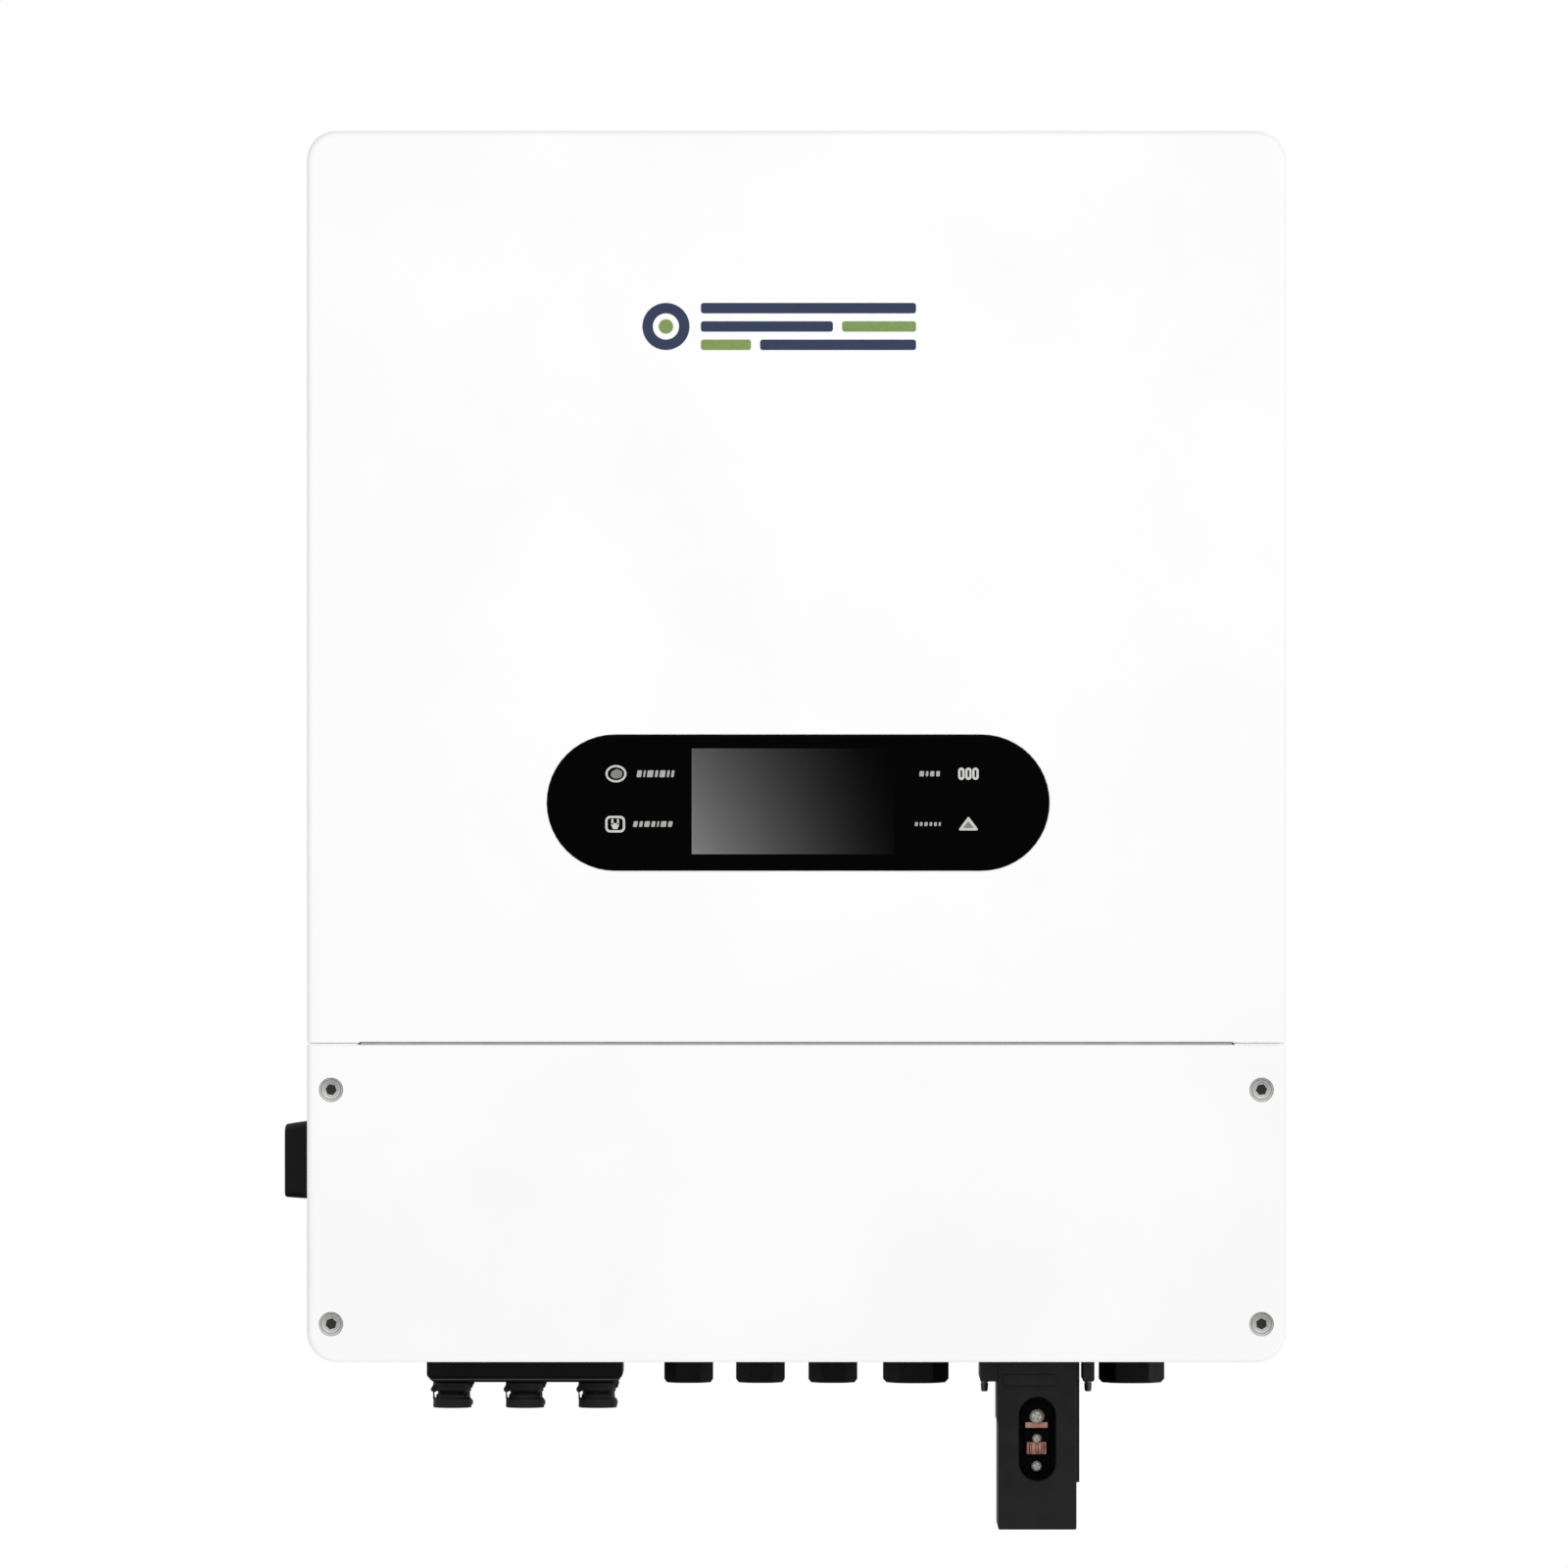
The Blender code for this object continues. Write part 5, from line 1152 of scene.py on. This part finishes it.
def make_breather():
    low, high = box_mm("breather_valve")
    x, y, _ = middle_mm("breather_valve")
    top = CASE_LOW.z - GAP
    profile = [(0, high.z), (3.4, high.z), (4.0, high.z - 0.6), (4.0, top), (6.5, top), (6.5, top - 1.4)]
    profile += [
        (5.6, top - 1.8), (5.6, low.z + 0.9), (4.8, low.z),
        (2.0, low.z), (1.8, low.z + 0.5), (0, low.z + 0.5)]
    cap = lathe(bmesh.new(), profile, aim((x, y, 0)), 48)
    slots = bmesh.new()
    for number in range(6):
        place = Matrix.Translation((x, y, 0)) @ Matrix.Rotation(number * math.tau / 6, 4, "Z")
        brick(slots, (4.9, -1.2, low.z + 1.2), (7.5, 1.2, low.z + 3.2), place=place)
    piece("breather_cap", carve(cap, slots), "moulded_black", "case", "breather_valve", sharp=38)


def make_earth_screw():
    _, y, z = middle_mm("earth_screw")
    place = aim((CASE_HIGH.x + GAP, y, z), RIGHTWARD)
    profile = [
        (0, -12), (2.0, -12), (2.5, -11.4), (2.5, -0.1), (5.3, 0.0),
        (5.4, 0.15), (5.4, 1.0), (5.2, 1.2), (0, 1.3)]
    shank = lathe(bmesh.new(), profile, place)
    bolt = carve(hex_solid(place, 4.4, 0.9, 4.6, 0.2, 0.7), shank, "UNION")
    piece("earth_bolt", bolt, "stainless", "case", "earth_screw", sharp=38)
    mark = bmesh.new()
    for half, low, high in ((3.2, 12.0, 11.2), (2.1, 13.6, 12.8), (1.0, 15.2, 14.4), (0.4, 11.15, 7.2)):
        bar = rounded_box(y - half, y + half, z - low, z - high, 0.2, steps=2)
        slab(mark, [bar], CASE_HIGH.x - 0.05, CASE_HIGH.x + 0.08, on_side)
    piece("earth_mark", mark, "chip", "case")


# ---- Battery terminal box ----
BATTERY_X = middle_mm("battery_box")[0]
BATTERY_HALF = 17.4
BATTERY_WALL = 2.2
BATTERY_FRONT = -140.0
BATTERY_REAR = BATTERY_FRONT + 56
CABLE_ROWS = (BATTERY_FRONT + 16, BATTERY_FRONT + 40)
COLLAR_END_H = -11.4
SCREW_HEAD = 2.6


def make_battery_box():
    """The moulded box: sleeve, collar, side ribs, latch ridge, sight window, cable holes."""
    low, high = box_mm("battery_box")
    x, front, rear = BATTERY_X, BATTERY_FRONT, BATTERY_REAR
    left, right = x - BATTERY_HALF, x + BATTERY_HALF
    top, end, collar_end = high.z, low.z, up(COLLAR_END_H)
    sleeve = brick(bmesh.new(), (left, front, end), (right, rear, top), 0.8, 3)
    collar = brick(bmesh.new(), (low.x, front + 1, collar_end), (high.x, rear - 1, top - 0.01), 0.9, 3)
    slot = brick(bmesh.new(), (right + 1.3, front - 3, collar_end - 3), (x + 20.5, rear + 3, up(1)), 0.3)
    mesh = carve(carve(sleeve, collar, "UNION"), slot)
    ribs, room, holes = bmesh.new(), bmesh.new(), bmesh.new()
    for inner, outer, end_h in ((left + 1, left - 0.5, -29.4), (right - 1, right + 1.3, -56.1)):
        inner, outer = sorted((inner, outer))
        brick(ribs, (inner, front + 2.0, up(end_h)), (outer, rear - 2.0, collar_end + 2), 0.3)
    wedge = [(1, -13.2), (-1.0, -13.2), (-1.2, -12.7), (-0.35, -8.4), (0.1, -8.0), (1, -8.0)]
    slab(ribs, [[(front + u, up(h)) for u, h in wedge]], x - 15, x + 8, on_side)
    mesh = carve(mesh, ribs, "UNION")
    wall = BATTERY_WALL
    slab(room, [rounded_box(left + wall, right - wall, front + wall, rear - wall, 1.5, steps=3)],
         end + 3, top + 5, on_top)
    mesh = carve(mesh, room)
    window = ((1.0, -3), (1.0, -0.2), (0.55, 0.05), (0.25, 0.35), (0.06, 0.8), (0, 1.2), (0, 5))
    loft(holes, [lifted(stadium(x, up(-36.9), 16.1 + 2 * grow, 37 + 2 * grow), front + dy)
                 for grow, dy in window])
    for y in CABLE_ROWS:
        hole_rod(holes, aim((x, y, end + 1)), 8.0, 8, 36)
    for side in ("left", "right"):
        hole_rod(holes, aim((middle_mm("battery_box_screw_" + side)[0], ENTRY_Y, top - 10)), 1.6, 40)
    piece("terminal_box_shell", carve(mesh, holes), "moulded_black", "battery_box", "battery_box")


def make_battery_grommet():
    """The rubber sheet and its two closed cable plugs."""
    low, high = box_mm("battery_grommet")
    sheet = brick(bmesh.new(), (low.x, low.y, high.z - 2), high, 0.6)
    plugs = bmesh.new()
    profile = [(0, high.z - 0.5), (7.6, high.z - 0.5), (7.6, high.z - 3.5), (7.2, high.z - 5), (6.6, low.z)]
    profile += [(4.6, low.z), (4.4, low.z + 0.8), (2.6, low.z + 0.8), (2.4, low.z + 0.2), (0, low.z + 0.1)]
    for y in CABLE_ROWS:
        lathe(plugs, profile, aim((BATTERY_X, y, 0)))
    piece("cable_grommet", carve(sheet, plugs, "UNION"), "rubber", "battery_box", "battery_grommet", sharp=38)


def make_battery_box_screws():
    """Captive screws whose slim heads hang below the collar."""
    seat = up(COLLAR_END_H) - GAP
    for side in ("left", "right"):
        node = "battery_box_screw_" + side
        low, high = box_mm(node)
        place = aim((*middle_mm(node)[:2], 0))
        profile = [
            (0, high.z), (0.9, high.z), (1.3, high.z - 0.6),
            (1.3, seat), (1.8, seat), (1.8, seat - 1.0)]
        profile += [(1.2, seat - 1.3), (1.2, seat - 1.5), (0, seat - 1.5)]
        screw = lathe(bmesh.new(), profile, place, 32)
        piece("terminal_box_screw_" + side, screw, "stainless", node, node, sharp=38)
        profile = [(0, seat - 1.4), (1.6, seat - 1.4), (1.7, seat - 1.8), (1.5, low.z + 0.5), (1.1, low.z)]
        profile += [(0.7, low.z), (0.6, low.z + 1.0), (0, low.z + 1.1)]
        grip = lathe(bmesh.new(), profile, place, 24)
        piece("terminal_box_screw_grip_" + side, grip, "dark_steel", node, sharp=38)


def cross_screw(place, head, height, shank, length):
    """A pan-head screw with a cross recess. The head grows along +Z from a seat at 0."""
    profile = [(0, -length), (shank, -length), (shank, 0), (head - 0.15, 0), (head, 0.2)]
    profile += [
        (head * 0.98, height * 0.45), (head * 0.85, height * 0.8),
        (head * 0.6, height), (0, height * 1.04)]
    arm, blade = head * 0.62, head * 0.17
    cross = [(arm, -blade), (arm, blade), (blade, blade), (blade, arm), (-blade, arm), (-blade, blade)]
    cross += [(-u, -v) for u, v in cross]
    ends = [aimed(place, [(u * scale, v * scale) for u, v in cross], height * share)
            for share, scale in ((0.35, 0.45), (1.3, 1.25))]
    return carve(lathe(bmesh.new(), profile, place, 36), loft(bmesh.new(), ends))


def make_battery_terminals():
    """Copper bars with softened edges on their carrier, and the three terminal screws."""
    # The carrier's near-black finish is its own black plus painted shade inside the box.
    dress("battery_terminal_carrier", "matt_black", 0.5)
    x, front = BATTERY_X, box_mm("battery_positive_bar")[0].y
    # Painted shade: thin near-black plates in front of the copper bars, with holes for the screws, stand for
    # the shade that the box's front wall casts on the copper.
    shade_sheet, clamp = bmesh.new(), bmesh.new()
    plates = (("positive", 6.6, -29.8, -17.5, 1.2), ("negative", 5.6, -38.6, -33.2, 1.0))
    for pole, half, low_h, high_h, corner in plates:
        dress(f"battery_{pole}_bar", "copper_bar", 0.35)
        low, high = box_mm(f"battery_{pole}_screw")
        opening = circle(x, (low.z + high.z) / 2, (high.x - low.x) / 2 + 0.05, 28)
        outline = rounded_box(x - half, x + half, up(low_h), up(high_h), corner)
        slab(shade_sheet, [outline, opening], front - 0.75, front - 0.05)
    piece("terminal_painted_shade_plates", shade_sheet, "matt_black", "case")
    for dx in (-2.9, 0.0, 2.6):
        brick(clamp, (x + dx - 0.65, front - 0.7, up(-43.8)),
              (x + dx + 0.65, front + 0.3, up(-39.5)), 0.45, 3)
    piece("terminal_clamp_fingers", clamp, "copper_bar", "case")
    for pole in ("positive", "negative", "sense"):
        node = f"battery_{pole}_screw"
        low, high = box_mm(node)
        x, _, z = middle_mm(node)
        seat = low.y + SCREW_HEAD
        place = aim((x, seat, z), FORWARD) @ Matrix.Rotation(0.5, 4, "Z")
        screw = cross_screw(place, (high.x - low.x) / 2, SCREW_HEAD, 1.5, high.y - seat)
        piece(f"terminal_{pole}_screw", screw, "bright_screw", "case", node, sharp=34)


# ---- Inside the upper compartment ----
def make_capacitors():
    """Link capacitors on their holder, with rolled grooves and bare crimped tops."""
    low, high = box_mm("dc_link_capacitors")
    x, _, z = middle_mm("dc_link_capacitors")
    foot = high.y - 3
    holder = brick(bmesh.new(), (low.x, foot, low.z), high, 0.8)
    piece("capacitor_holder", holder, "chip", "case", "dc_link_capacitors")
    cans, tops = bmesh.new(), bmesh.new()
    radius, height = 15, foot - low.y
    can = [(0, 0), (radius - 0.6, 0), (radius, 0.6), (radius, 3.2), (radius - 0.9, 4.0), (radius - 0.9, 4.6)]
    can += [(radius, 5.4), (radius, height - 1.2), (radius - 0.5, height - 0.3), (radius - 1.4, height)]
    can += [(radius - 2.0, height - 0.5), (0, height - 0.5)]
    top = [(0, height - 0.6), (12.4, height - 0.6), (12.4, height - 0.25), (0, height - 0.2)]
    for dx in (-51, -17, 17, 51):
        for dz in (-17, 17):
            place = aim((x + dx, foot, z + dz), FORWARD)
            lathe(cans, can, place)
            lathe(tops, top, place)
    piece("link_capacitors", cans, "sleeve", "case", sharp=40)
    piece("link_capacitor_tops", tops, "cast_can", "case")


def toroid(mesh, place, radius, thickness, turns):
    """A ring core wound with thick wire: the wire's turns show as ridges."""
    around, across = turns * 6, 14
    sections = []
    for step in range(around):
        angle = math.tau * step / around
        bulge = thickness * (1 + 0.07 * math.cos(turns * angle))
        loop = []
        for part in range(across):
            turn = math.tau * part / across
            reach = radius + bulge * math.cos(turn)
            spot = (reach * math.cos(angle), reach * math.sin(angle), bulge * math.sin(turn))
            loop.append(place @ Vector(spot))
        sections.append(loop)
    rings = skin(mesh, sections)
    bridge(mesh, rings[-1], rings[0])


def make_inductors():
    """Potted aluminium cans, with three wound cores standing out of the resin."""
    for name in ("boost_inductor", "filter_inductor"):
        low, high = box_mm(name)
        x, _, z = middle_mm(name)
        face = low.y + 5
        outer = rounded_box(low.x, high.x, low.z, high.z, 6)
        inner = rounded_box(low.x + 3, high.x - 3, low.z + 3, high.z - 3, 4)
        can = slab(slab(bmesh.new(), [outer, inner], face, face + 6), [outer], face + 6.01, high.y)
        piece(name + "_can", can, "cast_can", "case", name)
        first, last = (low.x + 3.1, face + 2.5, low.z + 3.1), (high.x - 3.1, face + 6.4, high.z - 3.1)
        piece(name + "_resin", brick(bmesh.new(), first, last, 0.5), "chip", "case")
        cores = bmesh.new()
        for dx in (-50, 0, 50):
            toroid(cores, aim((x + dx, face + 2.0, z), FORWARD), 16.0, 6.4, 26)
        piece(name + "_windings", cores, "winding", "case", sharp=60)


def scatter(low, high, face, count, rng, sizes, taken):
    """Small soldered parts at random places that don't touch each other."""
    mesh = bmesh.new()
    for _ in range(count * 12):
        if count == 0:
            break
        width, height, depth = rng.choice(sizes)
        if rng.random() < 0.5:
            width, height = height, width
        x = rng.uniform(low[0] + width, high[0] - width)
        z = rng.uniform(low[1] + height, high[1] - height)
        spot = (x - width / 2 - 1, z - height / 2 - 1, x + width / 2 + 1, z + height / 2 + 1)
        if any(spot[0] < t[2] and spot[2] > t[0] and spot[1] < t[3] and spot[3] > t[1] for t in taken):
            continue
        taken.append(spot)
        count -= 1
        brick(mesh, (x - width / 2, face - depth, z - height / 2),
              (x + width / 2, face + 0.1, z + height / 2), 0.15, 1)
    return mesh


def make_power_board():
    dress("power_module", "moulded_black", 0.8)
    dress("relay_bank", "relay_case", 0.8)
    low, high = box_mm("power_board")
    face = high.y - 1.6
    dress("power_board", "circuit_board", 0.2, "terminal", face)
    rng = random.Random(11)
    taken = []
    for node in ("dc_link_capacitors", "relay_bank", "fan_frame", "control_board"):
        node_low, node_high = box_mm(node)
        taken.append((node_low.x - 2, node_low.z - 2, node_high.x + 2, node_high.z + 2))
    taken.append((low.x, low.z, high.x, up(306)))
    sizes = [(18, 9, 14), (12, 7, 10)]
    film = scatter((low.x + 6, low.z), (high.x - 6, high.z - 4), face, 12, rng, sizes, taken)
    sizes = [(6, 4, 1.6), (9, 9, 1.8), (3, 2, 1.0), (14, 8, 2.2)]
    chips = scatter((low.x + 4, low.z), (high.x - 4, high.z - 2), face, 70, rng, sizes, taken)
    piece("power_board_chips", chips, "chip", "case")
    piece("power_board_film_capacitors", film, "film", "case")


def make_control_board():
    low, high = box_mm("control_board")
    face = -160.0
    dress("control_board", "circuit_board", 0.2, "relay_case", face)
    x, _, z = middle_mm("control_board")
    taken = [
        (x - 48, z - 16, x - 12, z + 16), (x + 8, z - 2, x + 32, z + 26),
        (x + 5, z - 52, x + 75, z - 38)]
    sizes = [(5, 4, 1.4), (8, 8, 1.6), (2.5, 1.5, 0.8), (11, 6, 1.8)]
    corners = (low.x + 4, low.z + 4), (high.x - 4, high.z - 4)
    chips = scatter(*corners, face, 90, random.Random(5), sizes, taken)
    caps = bmesh.new()
    for number in range(5):
        lathe(caps, [(0, 0), (3.6, 0), (4.0, 0.5), (4.0, 9), (3.6, 9.6), (0, 9.6)],
              aim((low.x + 18 + 11 * number, face, high.z - 9), FORWARD), 24)
    piece("control_board_chips", chips, "chip", "case")
    piece("control_board_capacitors", caps, "cast_can", "case")


def make_fan():
    """Frame with round corners, and a rotor of seven twisted blades."""
    x, _, z = middle_mm("fan_frame")
    y = -124.0
    corners = [(sx, sz) for sx in (-1, 1) for sz in (-1, 1)]
    loops = [rounded_box(x - 30, x + 30, z - 30, z + 30, 4), circle(x, z, 27, 48)]
    loops += [circle(x + sx * 25, z + sz * 25, 2.2, 20) for sx, sz in corners]
    piece("fan_shell", slab(bmesh.new(), loops, y - 8, y + 8), "chip", "case", "fan_frame")
    legs = bmesh.new()
    for sx, sz in corners:
        place = aim((x + sx * 26, y + 8.02, z + sz * 26), BACKWARD)
        rod(legs, place, 3, 0, box_mm("fan_frame")[1].y - y - 8, 24)
    brick(legs, (x - 27.5, y + 6, z - 2), (x + 27.5, y + 7.9, z + 2), 0.4)
    piece("fan_legs", legs, "chip", "case")
    profile = [(0, 5), (11.4, 5), (12, 4.4), (12, -5.8), (10.8, -7), (0, -7)]
    hub = lathe(bmesh.new(), profile, aim((x, y, z), BACKWARD), 48)
    piece("fan_hub", hub, "knob_black", "fan_rotor", "fan_rotor")
    blades = bmesh.new()
    for number in range(7):
        fan_blade(blades, x, y, z, number * math.tau / 7)
    piece("fan_blades", blades, "knob_black", "fan_rotor", sharp=50)


def fan_blade(mesh, x, y, z, start):
    """One blade, lofted from the hub out, that flattens and leans back as it goes."""
    sections = []
    for step in range(7):
        t = step / 6
        radius = 11.5 + t * 14
        pitch = math.radians(50 - 24 * t)
        chord = 10 + 3 * t
        lean = start - 0.25 * t
        loop = []
        for along, across in ((-0.5, 0), (-0.2, 0.5), (0.2, 0.5), (0.5, 0), (0.2, -0.5), (-0.2, -0.5)):
            run = along * chord
            lift = across * 1.1 + 1.2 * (0.25 - along * along)
            angle = lean + (run * math.cos(pitch) - lift * math.sin(pitch)) / radius
            depth = -1 + run * math.sin(pitch) * 0.9 + lift * math.cos(pitch)
            loop.append((x + radius * math.cos(angle), y + depth, z + radius * math.sin(angle)))
        sections.append(loop)
    loft(mesh, sections)


# ---- Wiring compartment ----
POLE_PITCH = 12.5


def make_terminal_blocks():
    """Five-pole terminal blocks: slotted screws in their wells, and ribs between the poles."""
    for name in ("grid_terminal_block", "load_terminal_block"):
        low, high = box_mm(name)
        middle, _, z = middle_mm(name)
        dress(name, "terminal", 0.5)
        screws, ribs = bmesh.new(), bmesh.new()
        for step in range(-2, 3):
            place = aim((middle + POLE_PITCH * step, low.y + 7.6, z + 5), FORWARD)
            head = lathe(bmesh.new(), [(0, 0), (3.1, 0), (3.1, 2.4), (2.7, 3.0), (0, 3.0)], place, 28)
            turned = place @ Matrix.Rotation(0.4 + 0.5 * step, 4, "Z")
            slot = brick(bmesh.new(), (-4, -0.45, 1.8), (4, 0.45, 4.2), place=turned)
            made = add_object("helper", carve(head, slot))
            screws.from_mesh(made.data)
            bpy.data.objects.remove(made)
        piece(name + "_screws", screws, "stainless", "case")
        for step in range(-2, 2):
            x = middle + POLE_PITCH * (step + 0.5)
            brick(ribs, (x - 0.7, low.y - 1.2, low.z + 1), (x + 0.7, low.y + 0.2, high.z - 1), 0.3)
        piece(name + "_ribs", ribs, "terminal", "case")


def make_wiring_parts():
    dress("dc_switch_body", "moulded_black", 1.0)
    dress("earth_bar", "brass", 0.4)
    low, high = box_mm("com_board")
    face = -100.0
    dress("com_board", "circuit_board", 0.2, "terminal", face)
    x, _, z = middle_mm("com_board")
    jacks, screws = bmesh.new(), bmesh.new()
    for dx in (-34, -12, 10):
        brick(jacks, (x + dx - 8.4, face - 14, z - 27.4), (x + dx + 8.4, face - 0.05, z - 8.6), 0.4)
    piece("network_jacks", jacks, "jack", "case")
    taken = [(x - 46, z - 30, x + 22, z - 5), (x - 46, z + 9, x + 46, z + 24)]
    sizes = [(5, 4, 1.4), (7, 7, 1.6), (2.5, 1.5, 0.8)]
    corners = (low.x + 3, low.z + 3), (high.x - 3, high.z - 3)
    chips = scatter(*corners, face, 34, random.Random(3), sizes, taken)
    piece("com_board_chips", chips, "chip", "case")
    for number in range(12):
        place = aim((x - 38.5 + 7 * number, face - 9.5, z + 16), FORWARD)
        lathe(screws, [(0, 0), (2.3, 0), (2.3, 0.5), (0, 0.6)], place, 16)
    piece("com_board_screws", screws, "stainless", "case")


def make_cables():
    """Insulated leads between the entries, the terminals and the shelf above."""
    shelf = up(SHELF_LOW) - 0.5
    top = box_mm("pv_connector_1")[1].z
    leads = {color: bmesh.new() for color in ("red", "black", "blue", "green")}
    for number, (x, y) in enumerate(pv_places()):
        row, column = divmod(number, 3)
        target = (-148 + 14 * column, -96 - 14 * row)
        first = [(x, y, top - 1), (x, y, top + 9 + 5 * column), (x + 4, y - 6, top + 23 + 5 * column)]
        path = first + [(*target, up(118 + 4 * row)), (*target, shelf)]
        tube(leads["black" if number % 2 else "red"], path, 2.6, bend=10)
    for name, shift, color in (("positive", 3, "red"), ("negative", -9, "black")):
        high = box_mm(f"battery_{name}_bar")[1]
        x, y = BATTERY_X, high.y - 0.75
        turn = (x + shift, y - 8)
        path = [(x, y, high.z - 3), (x, y, high.z + 9), (*turn, up(100)), (*turn, shelf)]
        tube(leads[color], path, 4.4, 16, bend=14)
    for name, shift in (("grid_terminal_block", 0), ("load_terminal_block", 4)):
        low, high = box_mm(name)
        y = low.y + 22
        for step, color in zip(range(-2, 3), ("black", "red", "black", "blue", "green")):
            x = middle_mm(name)[0] + POLE_PITCH * step
            path = [(x, y, high.z - 2), (x, y, high.z + 12), (x + shift, low.y + 14, shelf)]
            tube(leads[color], path, 2.4, bend=8)
    for color, mesh in leads.items():
        piece("leads_" + color, mesh, "wire_" + color, "case", sharp=60)


def make_plain_parts():
    """CAD parts that keep their shape and only need a finish."""
    dress("upper_gasket", "foam", 0.5)
    dress("lower_gasket", "foam", 0.5)
    dress("display_frame", "moulded_black", 0.3)
    dress("lcd_module", "screen", 0.4)
    dress("display_board", "circuit_board", 0.2)


# ---- Floor, light and camera ----
FLOOR_DROP = 0.2
CAMERA_DISTANCE = 6.0
FRAME_WIDTH = 0.6887
CAMERA_X = -0.0054
CAMERA_H = 254.0
SENSOR = 36.0
WHITE = (1.0, 1.0, 1.0, 1.0)


def make_floor():
    """A pale round floor that fades into the white surroundings and is clear from below."""
    s = Shader("pale_floor", (0.86, 0.86, 0.86), 0.55)
    s.blotches(400, 3, (0.84, 0.84, 0.84), (0.88, 0.88, 0.88))
    s.set("Emission Color", WHITE)
    s.set("Emission Strength", 0.28)
    s.bump(s.noise(3, 2), 0.05, 0.3)
    distance = s.add("VectorMath", "Value", {0: s.place}, operation="LENGTH")
    above = s.math("SUBTRACT", 1.0, s.add("NewGeometry", "Backfacing", {}))
    s.set("Alpha", s.math("MULTIPLY", above, s.span(distance, 1, 0, 0.7, 1.9)))
    mesh = bmesh.new()
    bmesh.ops.create_circle(mesh, cap_ends=True, segments=96, radius=2.0)
    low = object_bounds()[0]
    floor = add_object("floor", mesh)
    floor.data.materials.append(s.material)
    floor.location = (0, -0.1, low.z - FLOOR_DROP)
    floor.visible_diffuse = False
    floor.visible_glossy = False
    floor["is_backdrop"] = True


def make_world():
    """White to the camera. Light on paint comes from the front, right and below, so that the
    left and top edges read; gloss sees a sky that is bright above and dim behind the camera."""
    world = bpy.data.worlds.new("studio")
    world.use_nodes = True
    tree = world.node_tree
    tree.nodes.clear()
    place = add_node(tree, "TexCoord", "Generated", {})

    def sky(direction, level):
        """A white background whose strength changes evenly along a direction."""
        slope = add_node(tree, "VectorMath", "Value", {0: place, 1: direction}, operation="DOT_PRODUCT")
        strength = add_node(tree, "Math", "Value", {0: slope, 1: level}, operation="ADD")
        return add_node(tree, "Background", "Background", {"Color": WHITE, "Strength": strength})

    def choose(ray, first, second):
        return add_node(tree, "MixShader", "Shader", {"Fac": rays[ray], 1: first, 2: second})

    rays = tree.nodes.new("ShaderNodeLightPath").outputs
    light = choose("Is Glossy Ray", sky((0.17, -0.22, -0.24), 0.84), sky((0.1, 0.1, 0.55), 0.58))
    white = add_node(tree, "Background", "Background", {"Color": WHITE, "Strength": 1.0})
    output = tree.nodes.new("ShaderNodeOutputWorld")
    tree.links.new(choose("Is Camera Ray", light, white), output.inputs["Surface"])
    bpy.context.scene.world = world


def area_light(name, place, size, power, glossy=True):
    """A lamp that faces the middle of the case."""
    data = bpy.data.lights.new(name, "AREA")
    data.shape = "RECTANGLE"
    data.size, data.size_y = size
    data.energy = power
    lamp = bpy.data.objects.new(name, data)
    lamp.visible_camera = False
    lamp.visible_glossy = glossy
    lamp.location = place
    lamp.rotation_euler = (Vector((0, -0.1, -0.1)) - Vector(place)).to_track_quat("-Z", "Y").to_euler()
    bpy.context.scene.collection.objects.link(lamp)


def make_lights():
    area_light("front_glow", (0, -0.9, -0.05), (0.5, 0.5), 0.6, glossy=False)
    area_light("key_light", (1.4, -2.2, 2.4), (1.2, 1.2), 6)
    area_light("back_light", (0.8, 2.4, 1.8), (1.6, 1.2), 8)


def make_camera():
    data = bpy.data.cameras.new("camera")
    data.sensor_width = SENSOR
    data.lens = SENSOR * CAMERA_DISTANCE / FRAME_WIDTH
    data.clip_end = 100
    camera = bpy.data.objects.new("camera", data)
    camera.location = (CAMERA_X, FRONT * MM - CAMERA_DISTANCE, up(CAMERA_H) * MM)
    camera.rotation_euler = (math.pi / 2, 0, 0)
    scene = bpy.context.scene
    scene.collection.objects.link(camera)
    scene.camera = camera
    scene.view_settings.view_transform = "Standard"


OUTSIDE = (
    make_upper_cover, make_lower_cover, make_seam, make_cover_screws,
    make_display_window, make_display_prints,
    make_badge, make_chassis, make_heat_sink, make_wall_bracket, make_hanger_rail, make_knob, make_glands,
    make_pv_block, make_pv_connectors, make_breather, make_earth_screw,
)
BATTERY_PARTS = (make_battery_box, make_battery_grommet, make_battery_box_screws, make_battery_terminals)
INSIDE = (
    make_capacitors, make_inductors, make_power_board, make_control_board, make_fan, make_terminal_blocks,
    make_wiring_parts, make_cables, make_plain_parts,
)
STUDIO = (make_floor, make_world, make_lights, make_camera)
for make in OUTSIDE + BATTERY_PARTS + INSIDE + STUDIO:
    make()
